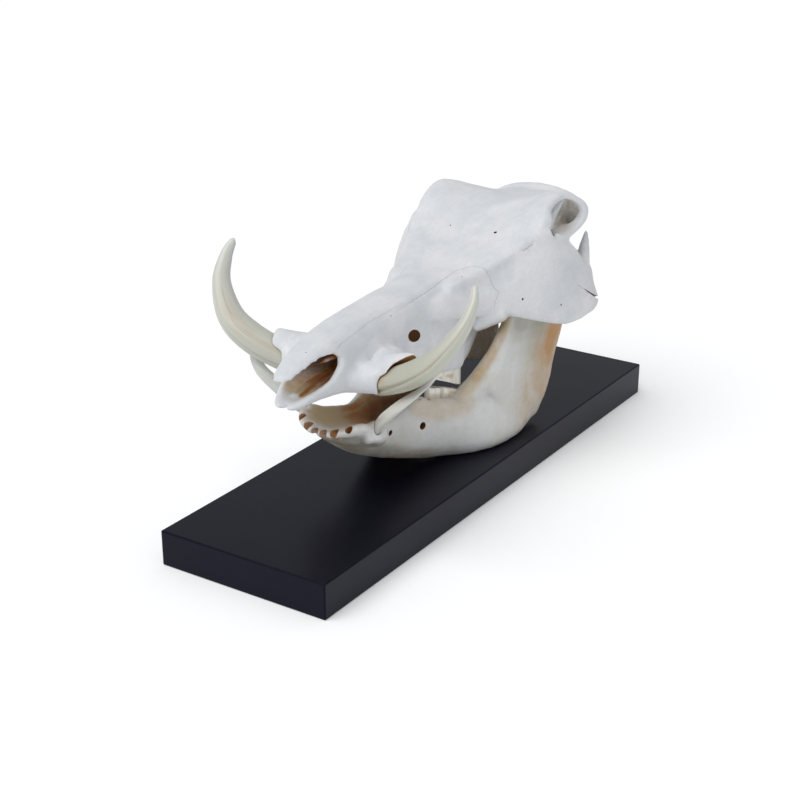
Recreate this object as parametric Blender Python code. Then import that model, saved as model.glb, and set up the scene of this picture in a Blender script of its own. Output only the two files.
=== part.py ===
"""Warthog skull with its jaw and tusks, fixed on a black wooden board.

Metres, +Z up. The snout points to -Y and the animal's left is +X. The origin
is the middle of the board's underside.
"""
import math

import bmesh
import bpy
import numpy as np
from mathutils import Matrix, Vector

# Board
BOARD_LENGTH = 0.600
BOARD_WIDTH = 0.177
BOARD_THICKNESS = 0.034
BOARD_EDGE_ROUND = 0.0015

# The skull sits on the jaw's two hinge knuckles, a little askew
TILT_PIVOT = Vector((0.0, 0.10, 0.18))
TILT_ROLL = math.radians(-0.4)

# Gaps and mesh sizes
SOCKET_GAP = 0.0005
TUSK_SOCKET_GAP = 0.0012
REST_GAP = 0.0003
VOXEL_CRANIUM = 0.0025
VOXEL_JAW = 0.0020
CRANIUM_KEEP = 0.032
JAW_KEEP = 0.023

# Upper tusk: the middle line of the left one, from its root to its tip, and its radius there
UPPER_TUSK = [
    ((0.0260, -0.0980, 0.1560), 0.0070),
    ((0.0300, -0.1220, 0.1510), 0.0105),
    ((0.0390, -0.1430, 0.1500), 0.0138),
    ((0.0661, -0.1587, 0.1622), 0.0145),
    ((0.0904, -0.1661, 0.1757), 0.0145),
    ((0.1106, -0.1661, 0.1915), 0.0126),
    ((0.1280, -0.1560, 0.2165), 0.0086),
    ((0.1325, -0.1440, 0.2368), 0.0058),
    ((0.1304, -0.1375, 0.2495), 0.0034),
    ((0.1298, -0.1362, 0.2520), 0.0010),
]

# Makes up for what a tusk's flat facets take off its round form
FACET_SWELL = 1.04

# The right tusks differ a little: a thicker upper one with its tip further in, and a lower one
# that stands further out
RIGHT_TUSK_SWELL = 1.08
RIGHT_TUSK_LEAN = 0.004
RIGHT_LOWER_SPREAD = 0.011

# Lower tusk: the same for the left one
LOWER_TUSK = [
    ((.0210, -.1230, .0830), .0050),
    ((.0325, -.1420, .1000), .0064),
    ((.0465, -.1540, .1165), .0070),
    ((.0620, -.1610, .1315), .0063),
    ((.0735, -.1630, .1424), .0056),
    ((.0835, -.1570, .1515), .0046),
    ((.0890, -.1450, .1578), .0035),
    ((.0910, -.1330, .1620), .0012),
]


def smooth_curve(points, steps):
    """Points along a smooth curve through the given points, `steps` for each span."""
    pts = np.array(points, float)
    padded = np.vstack([2 * pts[0] - pts[1], pts, 2 * pts[-1] - pts[-2]])
    out = []
    for i in range(len(pts) - 1):
        p0, p1, p2, p3 = padded[i:i + 4]
        for step in range(steps):
            t = step / steps
            out.append(0.5 * (2 * p1 + (p2 - p0) * t + (2 * p0 - 5 * p1 + 4 * p2 - p3) * t ** 2
                              + (3 * p1 - p0 - 3 * p2 + p3) * t ** 3))
    out.append(pts[-1])
    return np.array(out)


def smooth_ring(points, steps):
    """A smooth closed ring through the given points."""
    pts = np.array(points, float)
    count = len(pts)
    out = []
    for i in range(count):
        p0, p1, p2, p3 = (pts[(i + k) % count] for k in (-1, 0, 1, 2))
        for step in range(steps):
            t = step / steps
            out.append(0.5 * (2 * p1 + (p2 - p0) * t + (2 * p0 - 5 * p1 + 4 * p2 - p3) * t ** 2
                              + (3 * p1 - p0 - 3 * p2 + p3) * t ** 3))
    return np.array(out)


def skin(bm, rings):
    """A closed body through rings of equal point counts: a disc pushed from ring to ring."""
    before = set(bm.faces)
    disc = bmesh.ops.create_circle(bm, cap_ends=True, segments=len(rings[0]), radius=1)
    face = disc["verts"][0].link_faces[0]
    for step, ring in enumerate(rings):
        if step:
            pushed = bmesh.ops.extrude_face_region(bm, geom=[face, *face.edges])
            face = next(item for item in pushed["geom"] if isinstance(item, bmesh.types.BMFace))
        for vert, point in zip(face.verts, ring):
            vert.co = point
    bmesh.ops.recalc_face_normals(bm, faces=[f for f in bm.faces if f not in before])


def side_sign(sides):
    return {"left": (1,), "right": (-1,), "both": (1, -1)}[sides]


def upper_tusk(bm, side, grow=0.0):
    path = []
    for step, ((x, y, z), r) in enumerate(UPPER_TUSK):
        along = step / (len(UPPER_TUSK) - 1)
        if side == "right":
            x -= RIGHT_TUSK_LEAN * along ** 4
            r *= RIGHT_TUSK_SWELL
        path.append(((x, y, z), r * FACET_SWELL + grow))
    tube(bm, path, side=side, around=12, along=2, flatten=0.8, flat_axis=(-.69, -.10, .72))


def lower_tusk(bm, side, grow=0.0):
    path = []
    for step, ((x, y, z), r) in enumerate(LOWER_TUSK):
        along = step / (len(LOWER_TUSK) - 1)
        if side == "right":
            x += RIGHT_LOWER_SPREAD * along
        path.append(((x, y, z), r * FACET_SWELL + grow * 2))
    tube(bm, path, side=side, around=8, along=2, flatten=0.5, flat_axis=(.51, .77, -.38))


def loft(bm, stations, around=4, along=3, side="both", mirrored=True):
    """A body through outlines given as (y, [(x, z), ...]).

    With mirrored the outline is its left half, from the top middle to the bottom middle.
    Without it the outline is a whole ring, and side says on which side it stands.
    """
    for sign in ((1,) if mirrored else side_sign(side)):
        outlines = []
        for y, half in stations:
            ring = [(x * sign, y, z) for x, z in half]
            if mirrored:
                ring += [(-x, y, z) for x, z in reversed(half[1:-1])]
            outlines.append(smooth_ring(ring, around))
        stacked = np.array(outlines)
        rings = smooth_curve(stacked.reshape(len(stacked), -1), along)
        skin(bm, rings.reshape(len(rings), -1, 3))


def tube(bm, path, side="both", flatten=1.0, flat_axis=(0, 0, 1), around=14, along=4):
    """A rounded bar along (point, radius) pairs, thinner across flat_axis by flatten."""
    knots = np.array([(*p, r) for p, r in path], float)
    fine = smooth_curve(knots, along)
    for sign in side_sign(side):
        line = fine[:, :3] * (sign, 1, 1)
        axis = np.array(flat_axis, float) * (sign, 1, 1)
        radii = fine[:, 3]
        tangents = np.gradient(line, axis=0)
        rings = []
        for p, t, r in zip(line, tangents, radii):
            t = t / np.linalg.norm(t)
            thin = axis - t * (axis @ t)
            thin /= np.linalg.norm(thin)
            wide = np.cross(t, thin)
            angles = np.linspace(0, 2 * np.pi, around, endpoint=False)
            rings.append([p + wide * r * math.cos(a) + thin * r * flatten * math.sin(a) for a in angles])
        skin(bm, rings)


def ball(bm, centre, radii, side="both", turn=(0, 0, 0)):
    """An egg shape; turn is in degrees about X, Y and Z."""
    for sign in side_sign(side):
        spin = Matrix.Rotation(math.radians(turn[2] * sign), 4, "Z")
        spin @= Matrix.Rotation(math.radians(turn[1] * sign), 4, "Y")
        spin @= Matrix.Rotation(math.radians(turn[0]), 4, "X")
        place = Matrix.Translation((centre[0] * sign, centre[1], centre[2]))
        bmesh.ops.create_icosphere(bm, subdivisions=3, radius=1.0,
                                   matrix=place @ spin @ Matrix.Diagonal((*radii, 1)))


def blade(bm, stations, side="both", around=5, along=3):
    """A plate through sections (y, (top x, z), (bottom x, z), thickness, outward bulge)."""
    outlines = []
    for y, top, bottom, thick, bulge in stations:
        top, bottom = np.array(top), np.array(bottom)
        down = bottom - top
        length = np.linalg.norm(down)
        out = np.array((-down[1], down[0])) / length
        ring = []
        for along_down, across in ((0.0, 0.0), (0.06, 0.36), (0.30, 0.5), (0.70, 0.5), (0.94, 0.36),
                                   (1.0, 0.0), (0.94, -0.36), (0.70, -0.5), (0.30, -0.5), (0.06, -0.36)):
            hump = bulge * math.sin(math.pi * along_down)
            ring.append(tuple(top + down * along_down + out * (across * thick + hump)))
        outlines.append((y, ring))
    loft(bm, outlines, around=around, along=along, side=side, mirrored=False)


# Cranium from the tip of the nose bones to the back: half outlines, top middle to bottom middle
CRANIUM_BODY = [
    (-0.241, [(0, .1755), (.0022, .1752), (.0046, .1742), (.0056, .1728), (.0054, .1700), (.0044, .1670),
              (.0024, .1652), (0, .1650)]),
    (-0.233, [(0, .1800), (.0055, .1795), (.0095, .1770), (.0115, .1710), (.0122, .1610), (.0120, .1510),
              (.0085, .1452), (0, .1458)]),
    (-0.210, [(0, .1900), (.0080, .1892), (.0140, .1855), (.0175, .1780), (.0200, .1670), (.0210, .1560),
              (.0160, .1480), (0, .1480)]),
    (-0.185, [(0, .1970), (.0090, .1960), (.0165, .1920), (.0220, .1830), (.0265, .1720), (.0290, .1600),
              (.0250, .1490), (0, .1490)]),
    (-0.150, [(0, .2025), (.0090, .2015), (.0180, .1975), (.0255, .1880), (.0310, .1750), (.0330, .1590),
              (.0300, .1410), (0, .1430)]),
    (-0.115, [(0, .2045), (.0090, .2035), (.0185, .2000), (.0260, .1910), (.0310, .1770), (.0320, .1590),
              (.0290, .1350), (0, .1370)]),
    (-0.080, [(0, .2060), (.0090, .2050), (.0195, .2020), (.0265, .1930), (.0290, .1790), (.0305, .1590),
              (.0295, .1270), (0, .1340)]),
    (-0.045, [(0, .2070), (.0100, .2060), (.0200, .2030), (.0270, .1940), (.0285, .1790), (.0305, .1550),
              (.0310, .1200), (0, .1320)]),
    (-0.010, [(0, .2085), (.0120, .2080), (.0235, .2070), (.0305, .1990), (.0315, .1840), (.0325, .1550),
              (.0325, .1150), (0, .1300)]),
    (0.020, [(0, .2120), (.0150, .2112), (.0330, .2118), (.0465, .2095), (.0440, .1900), (.0360, .1620),
             (.0300, .1200), (0, .1290)]),
    (0.055, [(0, .2220), (.0180, .2212), (.0430, .2230), (.0600, .2210), (.0520, .2000), (.0380, .1700),
             (.0240, .1450), (0, .1330)]),
    (0.085, [(0, .2320), (.0220, .2315), (.0560, .2362), (.0730, .2335), (.0580, .2140), (.0400, .1850),
             (.0260, .1500), (0, .1400)]),
    (0.110, [(0, .2400), (.0250, .2415), (.0590, .2556), (.0730, .2525), (.0590, .2320), (.0440, .1950),
             (.0280, .1520), (0, .1450)]),
    (0.135, [(0, .2460), (.0270, .2485), (.0590, .2588), (.0730, .2545), (.0560, .2340), (.0450, .2000),
             (.0300, .1550), (0, .1490)]),
    (0.155, [(0, .2465), (.0250, .2485), (.0500, .2520), (.0600, .2460), (.0470, .2230), (.0410, .1950),
             (.0310, .1580), (0, .1520)]),
    (0.175, [(0, .2435), (.0220, .2440), (.0420, .2435), (.0470, .2370), (.0390, .2130), (.0370, .1880),
             (.0300, .1620), (0, .1560)]),
    (0.195, [(0, .2425), (.0200, .2420), (.0390, .2385), (.0430, .2320), (.0350, .2110), (.0320, .1880),
             (.0260, .1640), (0, .1580)]),
    (0.213, [(0, .2420), (.0200, .2405), (.0360, .2350), (.0380, .2240), (.0290, .2060), (.0260, .1850),
             (.0200, .1660), (0, .1620)]),
]

# Crest across the back of the head, a plate with two wings
BACK_CREST = [(0, .2455), (.0250, .2430), (.0430, .2375), (.0550, .2290), (.0560, .2150), (.0450, .2040),
              (.0320, .1940), (0, .1880)]
BACK_CREST_SLICES = ((.2090, .90), (.2130, .98), (.2200, 1.0), (.2245, .94))
BACK_CREST_MIDDLE = .218
BACK_CREST_SWEEP = 1.5

# Cheek arch: (y, upper edge, lower edge, thickness, outward bulge)
CHEEK_PLATE = [
    (-0.060, (.020, .188), (.028, .170), .006, 0),
    (-0.030, (.027, .196), (.036, .172), .012, .001),
    (0.005, (.035, .204), (.050, .168), .013, .001),
    (0.040, (.048, .214), (.068, .161), .014, .002),
    (0.070, (.065, .224), (.086, .150), .014, .004),
    (0.092, (.075, .227), (.0945, .143), .014, .004),
    (0.112, (.080, .220), (.098, .141), .014, .003),
    (0.130, (.083, .209), (.101, .143), .014, .002),
    (0.146, (.084, .192), (.101, .152), .013, 0),
    (0.155, (.088, .176), (.098, .162), .007, 0),
]

# Bone ring round the eye socket, from the cheek's upper edge forward, over and round to it again
BROW_RING = [
    ((.0795, .116, .2190), .0055),
    ((.0765, .109, .2290), .0055),
    ((.0715, .102, .2380), .0060),
    ((.0670, .102, .2460), .0065),
    ((.0665, .114, .2520), .0062),
    ((.0690, .133, .2535), .0058),
    ((.0770, .149, .2475), .0052),
    ((.0825, .1545, .2390), .0052),
    ((.0820, .1520, .2310), .0055),
    ((.0795, .1440, .2255), .0058),
    ((.0795, .1270, .2225), .0058),
    ((.0795, .1160, .2190), .0050),
]

# The left brow of this animal stands a little higher than the right one
BROW_LIFT = 0.0075
BROW_LIFT_MIDDLE = Vector((0.072, 0.130, 0.240))
BROW_LIFT_REACH = Vector((0.045, 0.050, 0.035))

# Molars, each as (front y, rear y), (inner x, outer x), the crown's height at the front and the
# rear, the root's height at the front and the rear, and the number of lobes
MOLARS = {
    "upper_third_molar": ((-.045, .0035), (.0225, .0350), (.1175, .0960), (.1340, .1240), 3),
    "lower_third_molar": ((-.0285, .0135), (.0225, .0345), (.1035, .0875), (.0780, .0660), 3),
    "lower_second_molar": ((-.0490, -.0292), (.0220, .0330), (.1095, .1040), (.0850, .0800), 2),
}


def molar(bm, kind, side="both", grow=0.0):
    """A high tooth with a worn, sloping crown, pinched between its lobes."""
    (front, rear), (inner, outer), crown, root, lobes = MOLARS[kind]
    up = -1 if kind.startswith("upper") else 1
    steps = lobes * 3
    for sign in side_sign(side):
        rings = []
        for step in range(steps + 1):
            t = step / steps
            y = front - grow + (rear - front + 2 * grow) * t
            end_round = 0.78 if step in (0, steps) else 1.0
            waist = 1 - 0.16 * (0.5 + 0.5 * math.cos(2 * math.pi * lobes * t))
            half = ((outer - inner) / 2) * waist * end_round + grow
            middle = (outer + inner) / 2
            top = crown[0] + (crown[1] - crown[0]) * t + grow * up
            low = root[0] + (root[1] - root[0]) * t - grow * up
            bevel = 0.0012 * up
            rings.append([(sign * (middle + a * half), y, z) for a, z in (
                (-.75, top), (.75, top), (1, top - bevel), (1, low + bevel), (.8, low), (-.8, low),
                (-1, low + bevel), (-1, top - bevel))])
        skin(bm, rings)


def lift_left_brow(bm):
    for vert in bm.verts:
        away = vert.co - BROW_LIFT_MIDDLE
        spread = sum((a / r) ** 2 for a, r in zip(away, BROW_LIFT_REACH))
        vert.co.z += BROW_LIFT * math.exp(-spread)


def back_crest(bm):
    """The crest's plate, its wings swept forward."""
    outlines = []
    for y, scale in BACK_CREST_SLICES:
        ring = [(x * scale, (z - BACK_CREST_MIDDLE) * scale + BACK_CREST_MIDDLE) for x, z in BACK_CREST]
        ring += [(-x, z) for x, z in reversed(ring[1:-1])]
        outlines.append([(x, y - BACK_CREST_SWEEP * x * x, z) for x, z in smooth_ring(ring, 4)])
    skin(bm, outlines)


def build_cranium(bm):
    loft(bm, CRANIUM_BODY)
    blade(bm, CHEEK_PLATE)
    tube(bm, BROW_RING)
    # floor of the eye socket
    tube(bm, [((.066, .118, .2200), .0080), ((.070, .132, .2190), .0110), ((.071, .148, .2210), .0090)],
         flatten=0.4)
    # ridge where the forehead turns down into the cheek
    tube(bm, [((.030, -.020, .199), .0060), ((.037, .000, .202), .0068), ((.047, .030, .2085), .0070),
              ((.056, .055, .2155), .0075), ((.066, .078, .2240), .0085), ((.073, .098, .2270), .0090)])
    # sockets' bulges, which end in flared rims round the upper tusks
    tube(bm, [((.008, -.092, .160), .0140), ((.022, -.112, .158), .0170), ((.036, -.129, .1590), .0172),
              ((.048, -.1420, .1620), .0168), ((.060, -.1515, .1660), .0157), ((.071, -.1565, .1700), .0135)])
    tube(bm, [((.016, -.185, .158), .0090), ((.024, -.172, .1575), .0115), ((.036, -.160, .1575), .0135),
              ((.050, -.156, .1600), .0140)])
    # rear root of the cheek arch
    tube(bm, [((.092, .138, .166), .0100), ((.087, .152, .172), .0095), ((.073, .168, .180), .0105),
              ((.050, .176, .185), .0130), ((.026, .176, .192), .0140)])
    # upright blade on the rear root
    tube(bm, [((.083, .152, .176), .0090), ((.082, .158, .192), .0070), ((.0805, .164, .206), .0048),
              ((.0795, .168, .2175), .0018)])
    # knob under the rear end of the cheek arch
    ball(bm, (.099, .136, .156), (.010, .017, .013))
    back_crest(bm)
    # neck joint knobs
    ball(bm, (.017, .212, .166), (.010, .011, .014), turn=(-25, 0, 20))
    # throat processes and ear bulbs
    tube(bm, [((.034, .188, .185), .009), ((.038, .186, .160), .0085), ((.040, .178, .138), .0065),
              ((.038, .170, .118), .0030)], flatten=0.7, flat_axis=(0, 1, 0))
    ball(bm, (.024, .156, .146), (.010, .014, .020), turn=(10, 0, 0))
    # bone round the molars' roots
    blade(bm, [(-.062, (.026, .150), (.026, .128), .010, 0), (-.045, (.0275, .150), (.0285, .1195), .019, 0),
               (-.020, (.0285, .150), (.0290, .1130), .020, 0), (.003, (.029, .150), (.0295, .1070), .019, 0),
               (.011, (.029, .150), (.029, .1080), .012, 0)])
    # wing plates behind the palate
    blade(bm, [(.020, (.016, .145), (.014, .122), .006, 0), (.040, (.019, .150), (.018, .106), .005, 0),
               (.070, (.020, .155), (.021, .101), .005, 0), (.096, (.020, .155), (.021, .114), .004, 0)])
    lift_left_brow(bm)


# Nose hollow, half outlines
CAVITY = [
    (-0.262, [(0, .1690), (.0060, .1685), (.0080, .1665), (.0085, .1620), (.0080, .1560), (.0050, .1500),
              (0, .1490)]),
    (-0.235, [(0, .1735), (.0050, .1730), (.0082, .1700), (.0092, .1650), (.0090, .1570), (.0055, .1508),
              (0, .1498)]),
    (-0.210, [(0, .1835), (.0080, .1825), (.0130, .1780), (.0165, .1690), (.0168, .1600), (.0100, .1540),
              (0, .1528)]),
    (-0.180, [(0, .1890), (.0085, .1880), (.0150, .1830), (.0195, .1730), (.0195, .1620), (.0120, .1565),
              (0, .1555)]),
    (-0.140, [(0, .1900), (.0080, .1885), (.0140, .1830), (.0165, .1740), (.0155, .1650), (.0100, .1590),
              (0, .1580)]),
    (-0.100, [(0, .1850), (.0050, .1840), (.0090, .1800), (.0100, .1750), (.0090, .1700), (.0050, .1660),
              (0, .1650)]),
]


def cut_nose(bm):
    loft(bm, CAVITY)


def cut_nose_sides(bm):
    """The open notch between the nose bones above and the front jaw bones below."""
    profile = [(-.180, .1812), (-.184, .1848), (-.192, .1858), (-.205, .1842), (-.222, .1793),
               (-.236, .1735), (-.275, .160), (-.275, .137), (-.240, .1478), (-.230, .1512), (-.222, .1545),
               (-.213, .1580), (-.203, .1615), (-.195, .1652), (-.187, .1710), (-.181, .1760)]
    rings = [[(x, y, z) for y, z in profile] for x in (-.045, .045)]
    skin(bm, np.array(rings))


def cut_nose_notch(bm):
    """Parts the tips of the two front jaw bones."""
    tube(bm, [((0, -.256, .1500), .0060), ((0, -.238, .1495), .0036), ((0, -.228, .1505), .0012)],
         side="left")


def cut_orbit(bm):
    ball(bm, (.072, .1255, .2370), (.027, .0260, .0145), turn=(0, 14, -12))
    lift_left_brow(bm)


def cut_socket_fronts(bm):
    """Slants the rims of the upper tusks' sockets, which reach furthest above the tusk."""
    tube(bm, [((.056, -.190, .146), .012), ((.070, -.188, .153), .019), ((.090, -.186, .166), .023)])


def cut_cheek_hollow(bm):
    """Clears the space between the cheek plate and the braincase, for the jaw's upper end."""
    tube(bm, [((.060, .060, .130), .020), ((.063, .070, .165), .019), ((.064, .095, .190), .016),
              ((.063, .125, .200), .017), ((.064, .140, .215), .014)], flatten=0.62, flat_axis=(1, 0, 0))


def cut_foramina(bm):
    tube(bm, [((.0450, -.0965, .1775), .0062), ((.0315, -.0765, .1700), .0062),
              ((.0195, -.0585, .1635), .0050)], along=2)


def cut_upper_sockets(bm):
    """The hollows that hold the upper tusks and molars."""
    for side in ("left", "right"):
        upper_tusk(bm, side, grow=TUSK_SOCKET_GAP)
    molar(bm, "upper_third_molar", grow=SOCKET_GAP)


def cut_lower_sockets(bm):
    for side in ("left", "right"):
        lower_tusk(bm, side, grow=TUSK_SOCKET_GAP / 2)
    molar(bm, "lower_third_molar", grow=SOCKET_GAP)


def cut_second_sockets(bm):
    molar(bm, "lower_second_molar", grow=SOCKET_GAP)


def cut_hinges(bm):
    ball(bm, KNUCKLE, [r + JAW_ROOM for r in KNUCKLE_RADII])


def cut_branch_room(bm):
    jaw_branch(bm, JAW_ROOM)


def cut_peak_room(bm):
    jaw_peak(bm, JAW_ROOM * 2)
    ball(bm, NECK, [r + JAW_ROOM for r in NECK_RADII])


def cut_skull_back(bm):
    tube(bm, [((0, .245, .172), .013), ((0, .212, .178), .011), ((0, .180, .190), .014)], side="left")
    ball(bm, (.024, .2335, .217), (.022, .0165, .019), turn=(0, 0, 12))


# Hinge knuckles of the jaw
KNUCKLE = (.063, .154, .172)
KNUCKLE_RADII = (.017, .009, .007)
NECK = (.062, .152, .160)
NECK_RADII = (.010, .010, .012)
# Room left in the cranium round the jaw's upper end
JAW_ROOM = 0.0013

# Jaw's front end, where its halves are grown together: half outlines
JAW_FRONT = [
    (-0.1855, [(0, .1072), (.0050, .1069), (.0090, .1064), (.0100, .1052), (.0080, .1036), (.0045, .1027),
               (0, .1023)]),
    (-0.179, [(0, .1085), (.0120, .1090), (.0230, .1115), (.0252, .1085), (.0200, .1040), (.0110, .1000),
              (0, .0990)]),
    (-0.165, [(0, .1030), (.0140, .1070), (.0310, .1152), (.0360, .1110), (.0300, .1015), (.0140, .0918),
              (0, .0898)]),
    (-0.150, [(0, .0980), (.0140, .1015), (.0320, .1100), (.0395, .1055), (.0330, .0945), (.0160, .0810),
              (0, .0785)]),
    (-0.130, [(0, .0930), (.0120, .0960), (.0280, .1065), (.0360, .1005), (.0310, .0855), (.0160, .0685),
              (0, .0655)]),
    (-0.105, [(0, .0840), (.0100, .0880), (.0240, .1000), (.0320, .0940), (.0300, .0760), (.0180, .0570),
              (0, .0545)]),
    (-0.085, [(0, .0720), (.0100, .0760), (.0240, .0960), (.0330, .0880), (.0340, .0660), (.0200, .0490),
              (0, .0500)]),
]


# Jaw's left side bar, whole outlines
JAW_SIDE = [
    (-0.105, [(.014, .0900), (.024, .0990), (.031, .0920), (.031, .0770), (.026, .0620), (.018, .0560),
              (.010, .0590), (.008, .0750)]),
    (-0.080, [(.016, .0940), (.027, .1025), (.035, .0930), (.037, .0720), (.033, .0550), (.023, .0470),
              (.012, .0510), (.010, .0700)]),
    (-0.055, [(.019, .0960), (.034, .1010), (.041, .0890), (.0425, .0690), (.0395, .0490), (.029, .0395),
              (.016, .0440), (.014, .0700)]),
    (-0.030, [(.019, .0900), (.037, .0940), (.0455, .0840), (.0500, .0660), (.0485, .0440), (.0370, .0345),
              (.0220, .0410), (.016, .0700)]),
    (-0.010, [(.019, .0850), (.038, .0885), (.0505, .0800), (.0570, .0630), (.0595, .0410), (.0490, .0325),
              (.0280, .0410), (.018, .0670)]),
    (0.010, [(.020, .0810), (.042, .0865), (.0560, .0785), (.0630, .0620), (.0680, .0395), (.0590, .0325),
             (.0370, .0410), (.022, .0640)]),
    (0.030, [(.026, .0730), (.050, .0890), (.0620, .0800), (.0680, .0620), (.0720, .0400), (.0640, .0325),
             (.0470, .0410), (.032, .0600)]),
    (0.055, [(.042, .0800), (.055, .0940), (.0660, .0830), (.0695, .0620), (.0725, .0400), (.0650, .0325),
             (.0530, .0410), (.045, .0600)]),
    (0.080, [(.052, .0800), (.060, .0900), (.0670, .0800), (.0695, .0620), (.0700, .0430), (.0640, .0355),
             (.0560, .0440), (.053, .0600)]),
    (0.093, [(.055, .0780), (.060, .0860), (.0650, .0780), (.0675, .0620), (.0675, .0480), (.0635, .0420),
             (.0580, .0480), (.056, .0600)]),
]

# Upright branch: (height, front y, rear y, middle x, thickness)
JAW_BRANCH = [
    (0.040, 0.045, 0.098, .0630, .012),
    (0.060, 0.036, 0.121, .0620, .014),
    (0.080, 0.022, 0.1345, .0605, .0135),
    (0.095, 0.014, 0.1435, .0595, .013),
    (0.110, 0.021, 0.1525, .0600, .011),
    (0.125, 0.026, 0.161, .0605, .010),
    (0.140, 0.032, 0.1685, .0610, .010),
    (0.155, 0.038, 0.1725, .0615, .010),
    (0.168, 0.047, 0.1700, .0615, .009),
]


def jaw_branch(bm, grow=0.0):
    """The upright plate behind the teeth."""
    for sign in (1, -1):
        outlines = []
        for step, (z, front, rear, middle, thick) in enumerate(JAW_BRANCH):
            if step == len(JAW_BRANCH) - 1:
                z += grow
            depth = rear - front + 2 * grow
            wide = thick + 2 * grow
            ring = [(along_y * depth + front - grow, middle + across * wide)
                    for along_y, across in ((0, 0), (.05, .42), (.3, .5), (.7, .5), (.95, .42), (1, 0),
                                            (.95, -.42), (.7, -.4), (.3, -.4), (.05, -.42))]
            outlines.append(smooth_ring([(x * sign, y, z) for y, x in ring], 4))
        stacked = np.array(outlines)
        rings = smooth_curve(stacked.reshape(len(stacked), -1), 3)
        skin(bm, rings.reshape(len(rings), -1, 3))


def jaw_peak(bm, grow=0.0):
    tube(bm, [((.060, .050, .146), .012 + grow), ((.060, .053, .165), .012 + grow),
              ((.060, .061, .180), .0095 + grow), ((.060, .070, .194 + grow), .005 + grow)],
         flatten=0.45 + grow / .013, flat_axis=(1, 0, 0))


def build_jaw(bm):
    loft(bm, JAW_FRONT)
    loft(bm, JAW_SIDE, mirrored=False)
    jaw_branch(bm)
    # front edge of the branch, running forward and inward to the tooth row
    tube(bm, [((.060, .046, .158), .0045), ((.0585, .036, .142), .0058), ((.055, .0285, .125), .0070),
              ((.0505, .0200, .109), .0094), ((.045, .012, .094), .0120), ((.036, -.002, .080), .0125)])
    # swelling round the lower tusk's root
    tube(bm, [((.016, -.112, .078), .0100), ((.0255, -.131, .0905), .0110), ((.0345, -.1445, .1005), .0108),
              ((.0400, -.1520, .1050), .0085)])
    ball(bm, (.0322, -.1555, .0985), (.0062, .0060, .0072))
    # hinge knuckle and its neck
    ball(bm, KNUCKLE, KNUCKLE_RADII)
    ball(bm, NECK, NECK_RADII)
    jaw_peak(bm)


def cut_jaw_bite(bm):
    """The gap above the branch between its peak and its knuckle."""
    ball(bm, (.060, .108, .186), (.025, .032, .022), turn=(-8, 0, 0))


def cut_board_top(bm):
    """Leaves the jaw standing on the board."""
    low = BOARD_THICKNESS - 0.05
    high = BOARD_THICKNESS + REST_GAP
    place = Matrix.Translation((0, 0, (low + high) / 2)) @ Matrix.Diagonal((0.3, 0.5, high - low, 1))
    bmesh.ops.create_cube(bm, size=1, matrix=place)


def cut_incisor_sockets(bm):
    for x, y, z in ((.0045, -.1785, .1045), (.0140, -.1745, .1070), (.0250, -.1680, .1100)):
        tube(bm, [((x * 1.1, y - .010, z + .008), .0042), ((x, y, z), .0037),
                  ((x * .93, y + .007, z - .0065), .0030), ((x * .90, y + .010, z - .0095), .0012)],
             along=2, around=8)


def new_object(name, bm, colour=None, roughness=0.5):
    mesh = bpy.data.meshes.new(name)
    bm.to_mesh(mesh)
    bm.free()
    obj = bpy.data.objects.new(name, mesh)
    bpy.context.scene.collection.objects.link(obj)
    if colour:
        mesh.shade_smooth()
        material = bpy.data.materials.new(name)
        material.use_nodes = True
        shader = material.node_tree.nodes["Principled BSDF"]
        shader.inputs["Base Color"].default_value = (*colour, 1)
        shader.inputs["Roughness"].default_value = roughness
        mesh.materials.append(material)
    return obj


def cutter(name, *shapes, parent=None):
    bm = bmesh.new()
    for shape in shapes:
        shape(bm)
    obj = new_object(name, bm)
    obj.hide_render = True
    obj.display_type = "WIRE"
    obj.parent = parent
    return obj


def cut(obj, tool):
    mod = obj.modifiers.new(tool.name, "BOOLEAN")
    mod.operation = "DIFFERENCE"
    mod.solver = "EXACT"
    mod.object = tool


def bone(name, build, voxel, keep, cutters, sockets, colour, parent=None):
    """Fuses overlapping forms into one bone, carves it, rounds it off and thins its mesh."""
    bm = bmesh.new()
    build(bm)
    obj = new_object(name, bm, colour, 0.55)
    obj.parent = parent
    fuse(obj, voxel)
    soften(obj, 3)
    for tool_name, shape in cutters:
        cut(obj, cutter(tool_name, shape, parent=parent))
    fuse(obj, voxel)
    soften(obj, 2)
    thin = obj.modifiers.new("thin", "DECIMATE")
    thin.ratio = keep
    for tool_name, shape in sockets:
        cut(obj, cutter(tool_name, shape, parent=parent))
    return obj


def fuse(obj, voxel):
    remesh = obj.modifiers.new("fuse", "REMESH")
    remesh.mode = "VOXEL"
    remesh.voxel_size = voxel
    remesh.use_smooth_shade = True


def soften(obj, rounds):
    smooth = obj.modifiers.new("soften", "SMOOTH")
    smooth.factor = 0.5
    smooth.iterations = rounds


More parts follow.
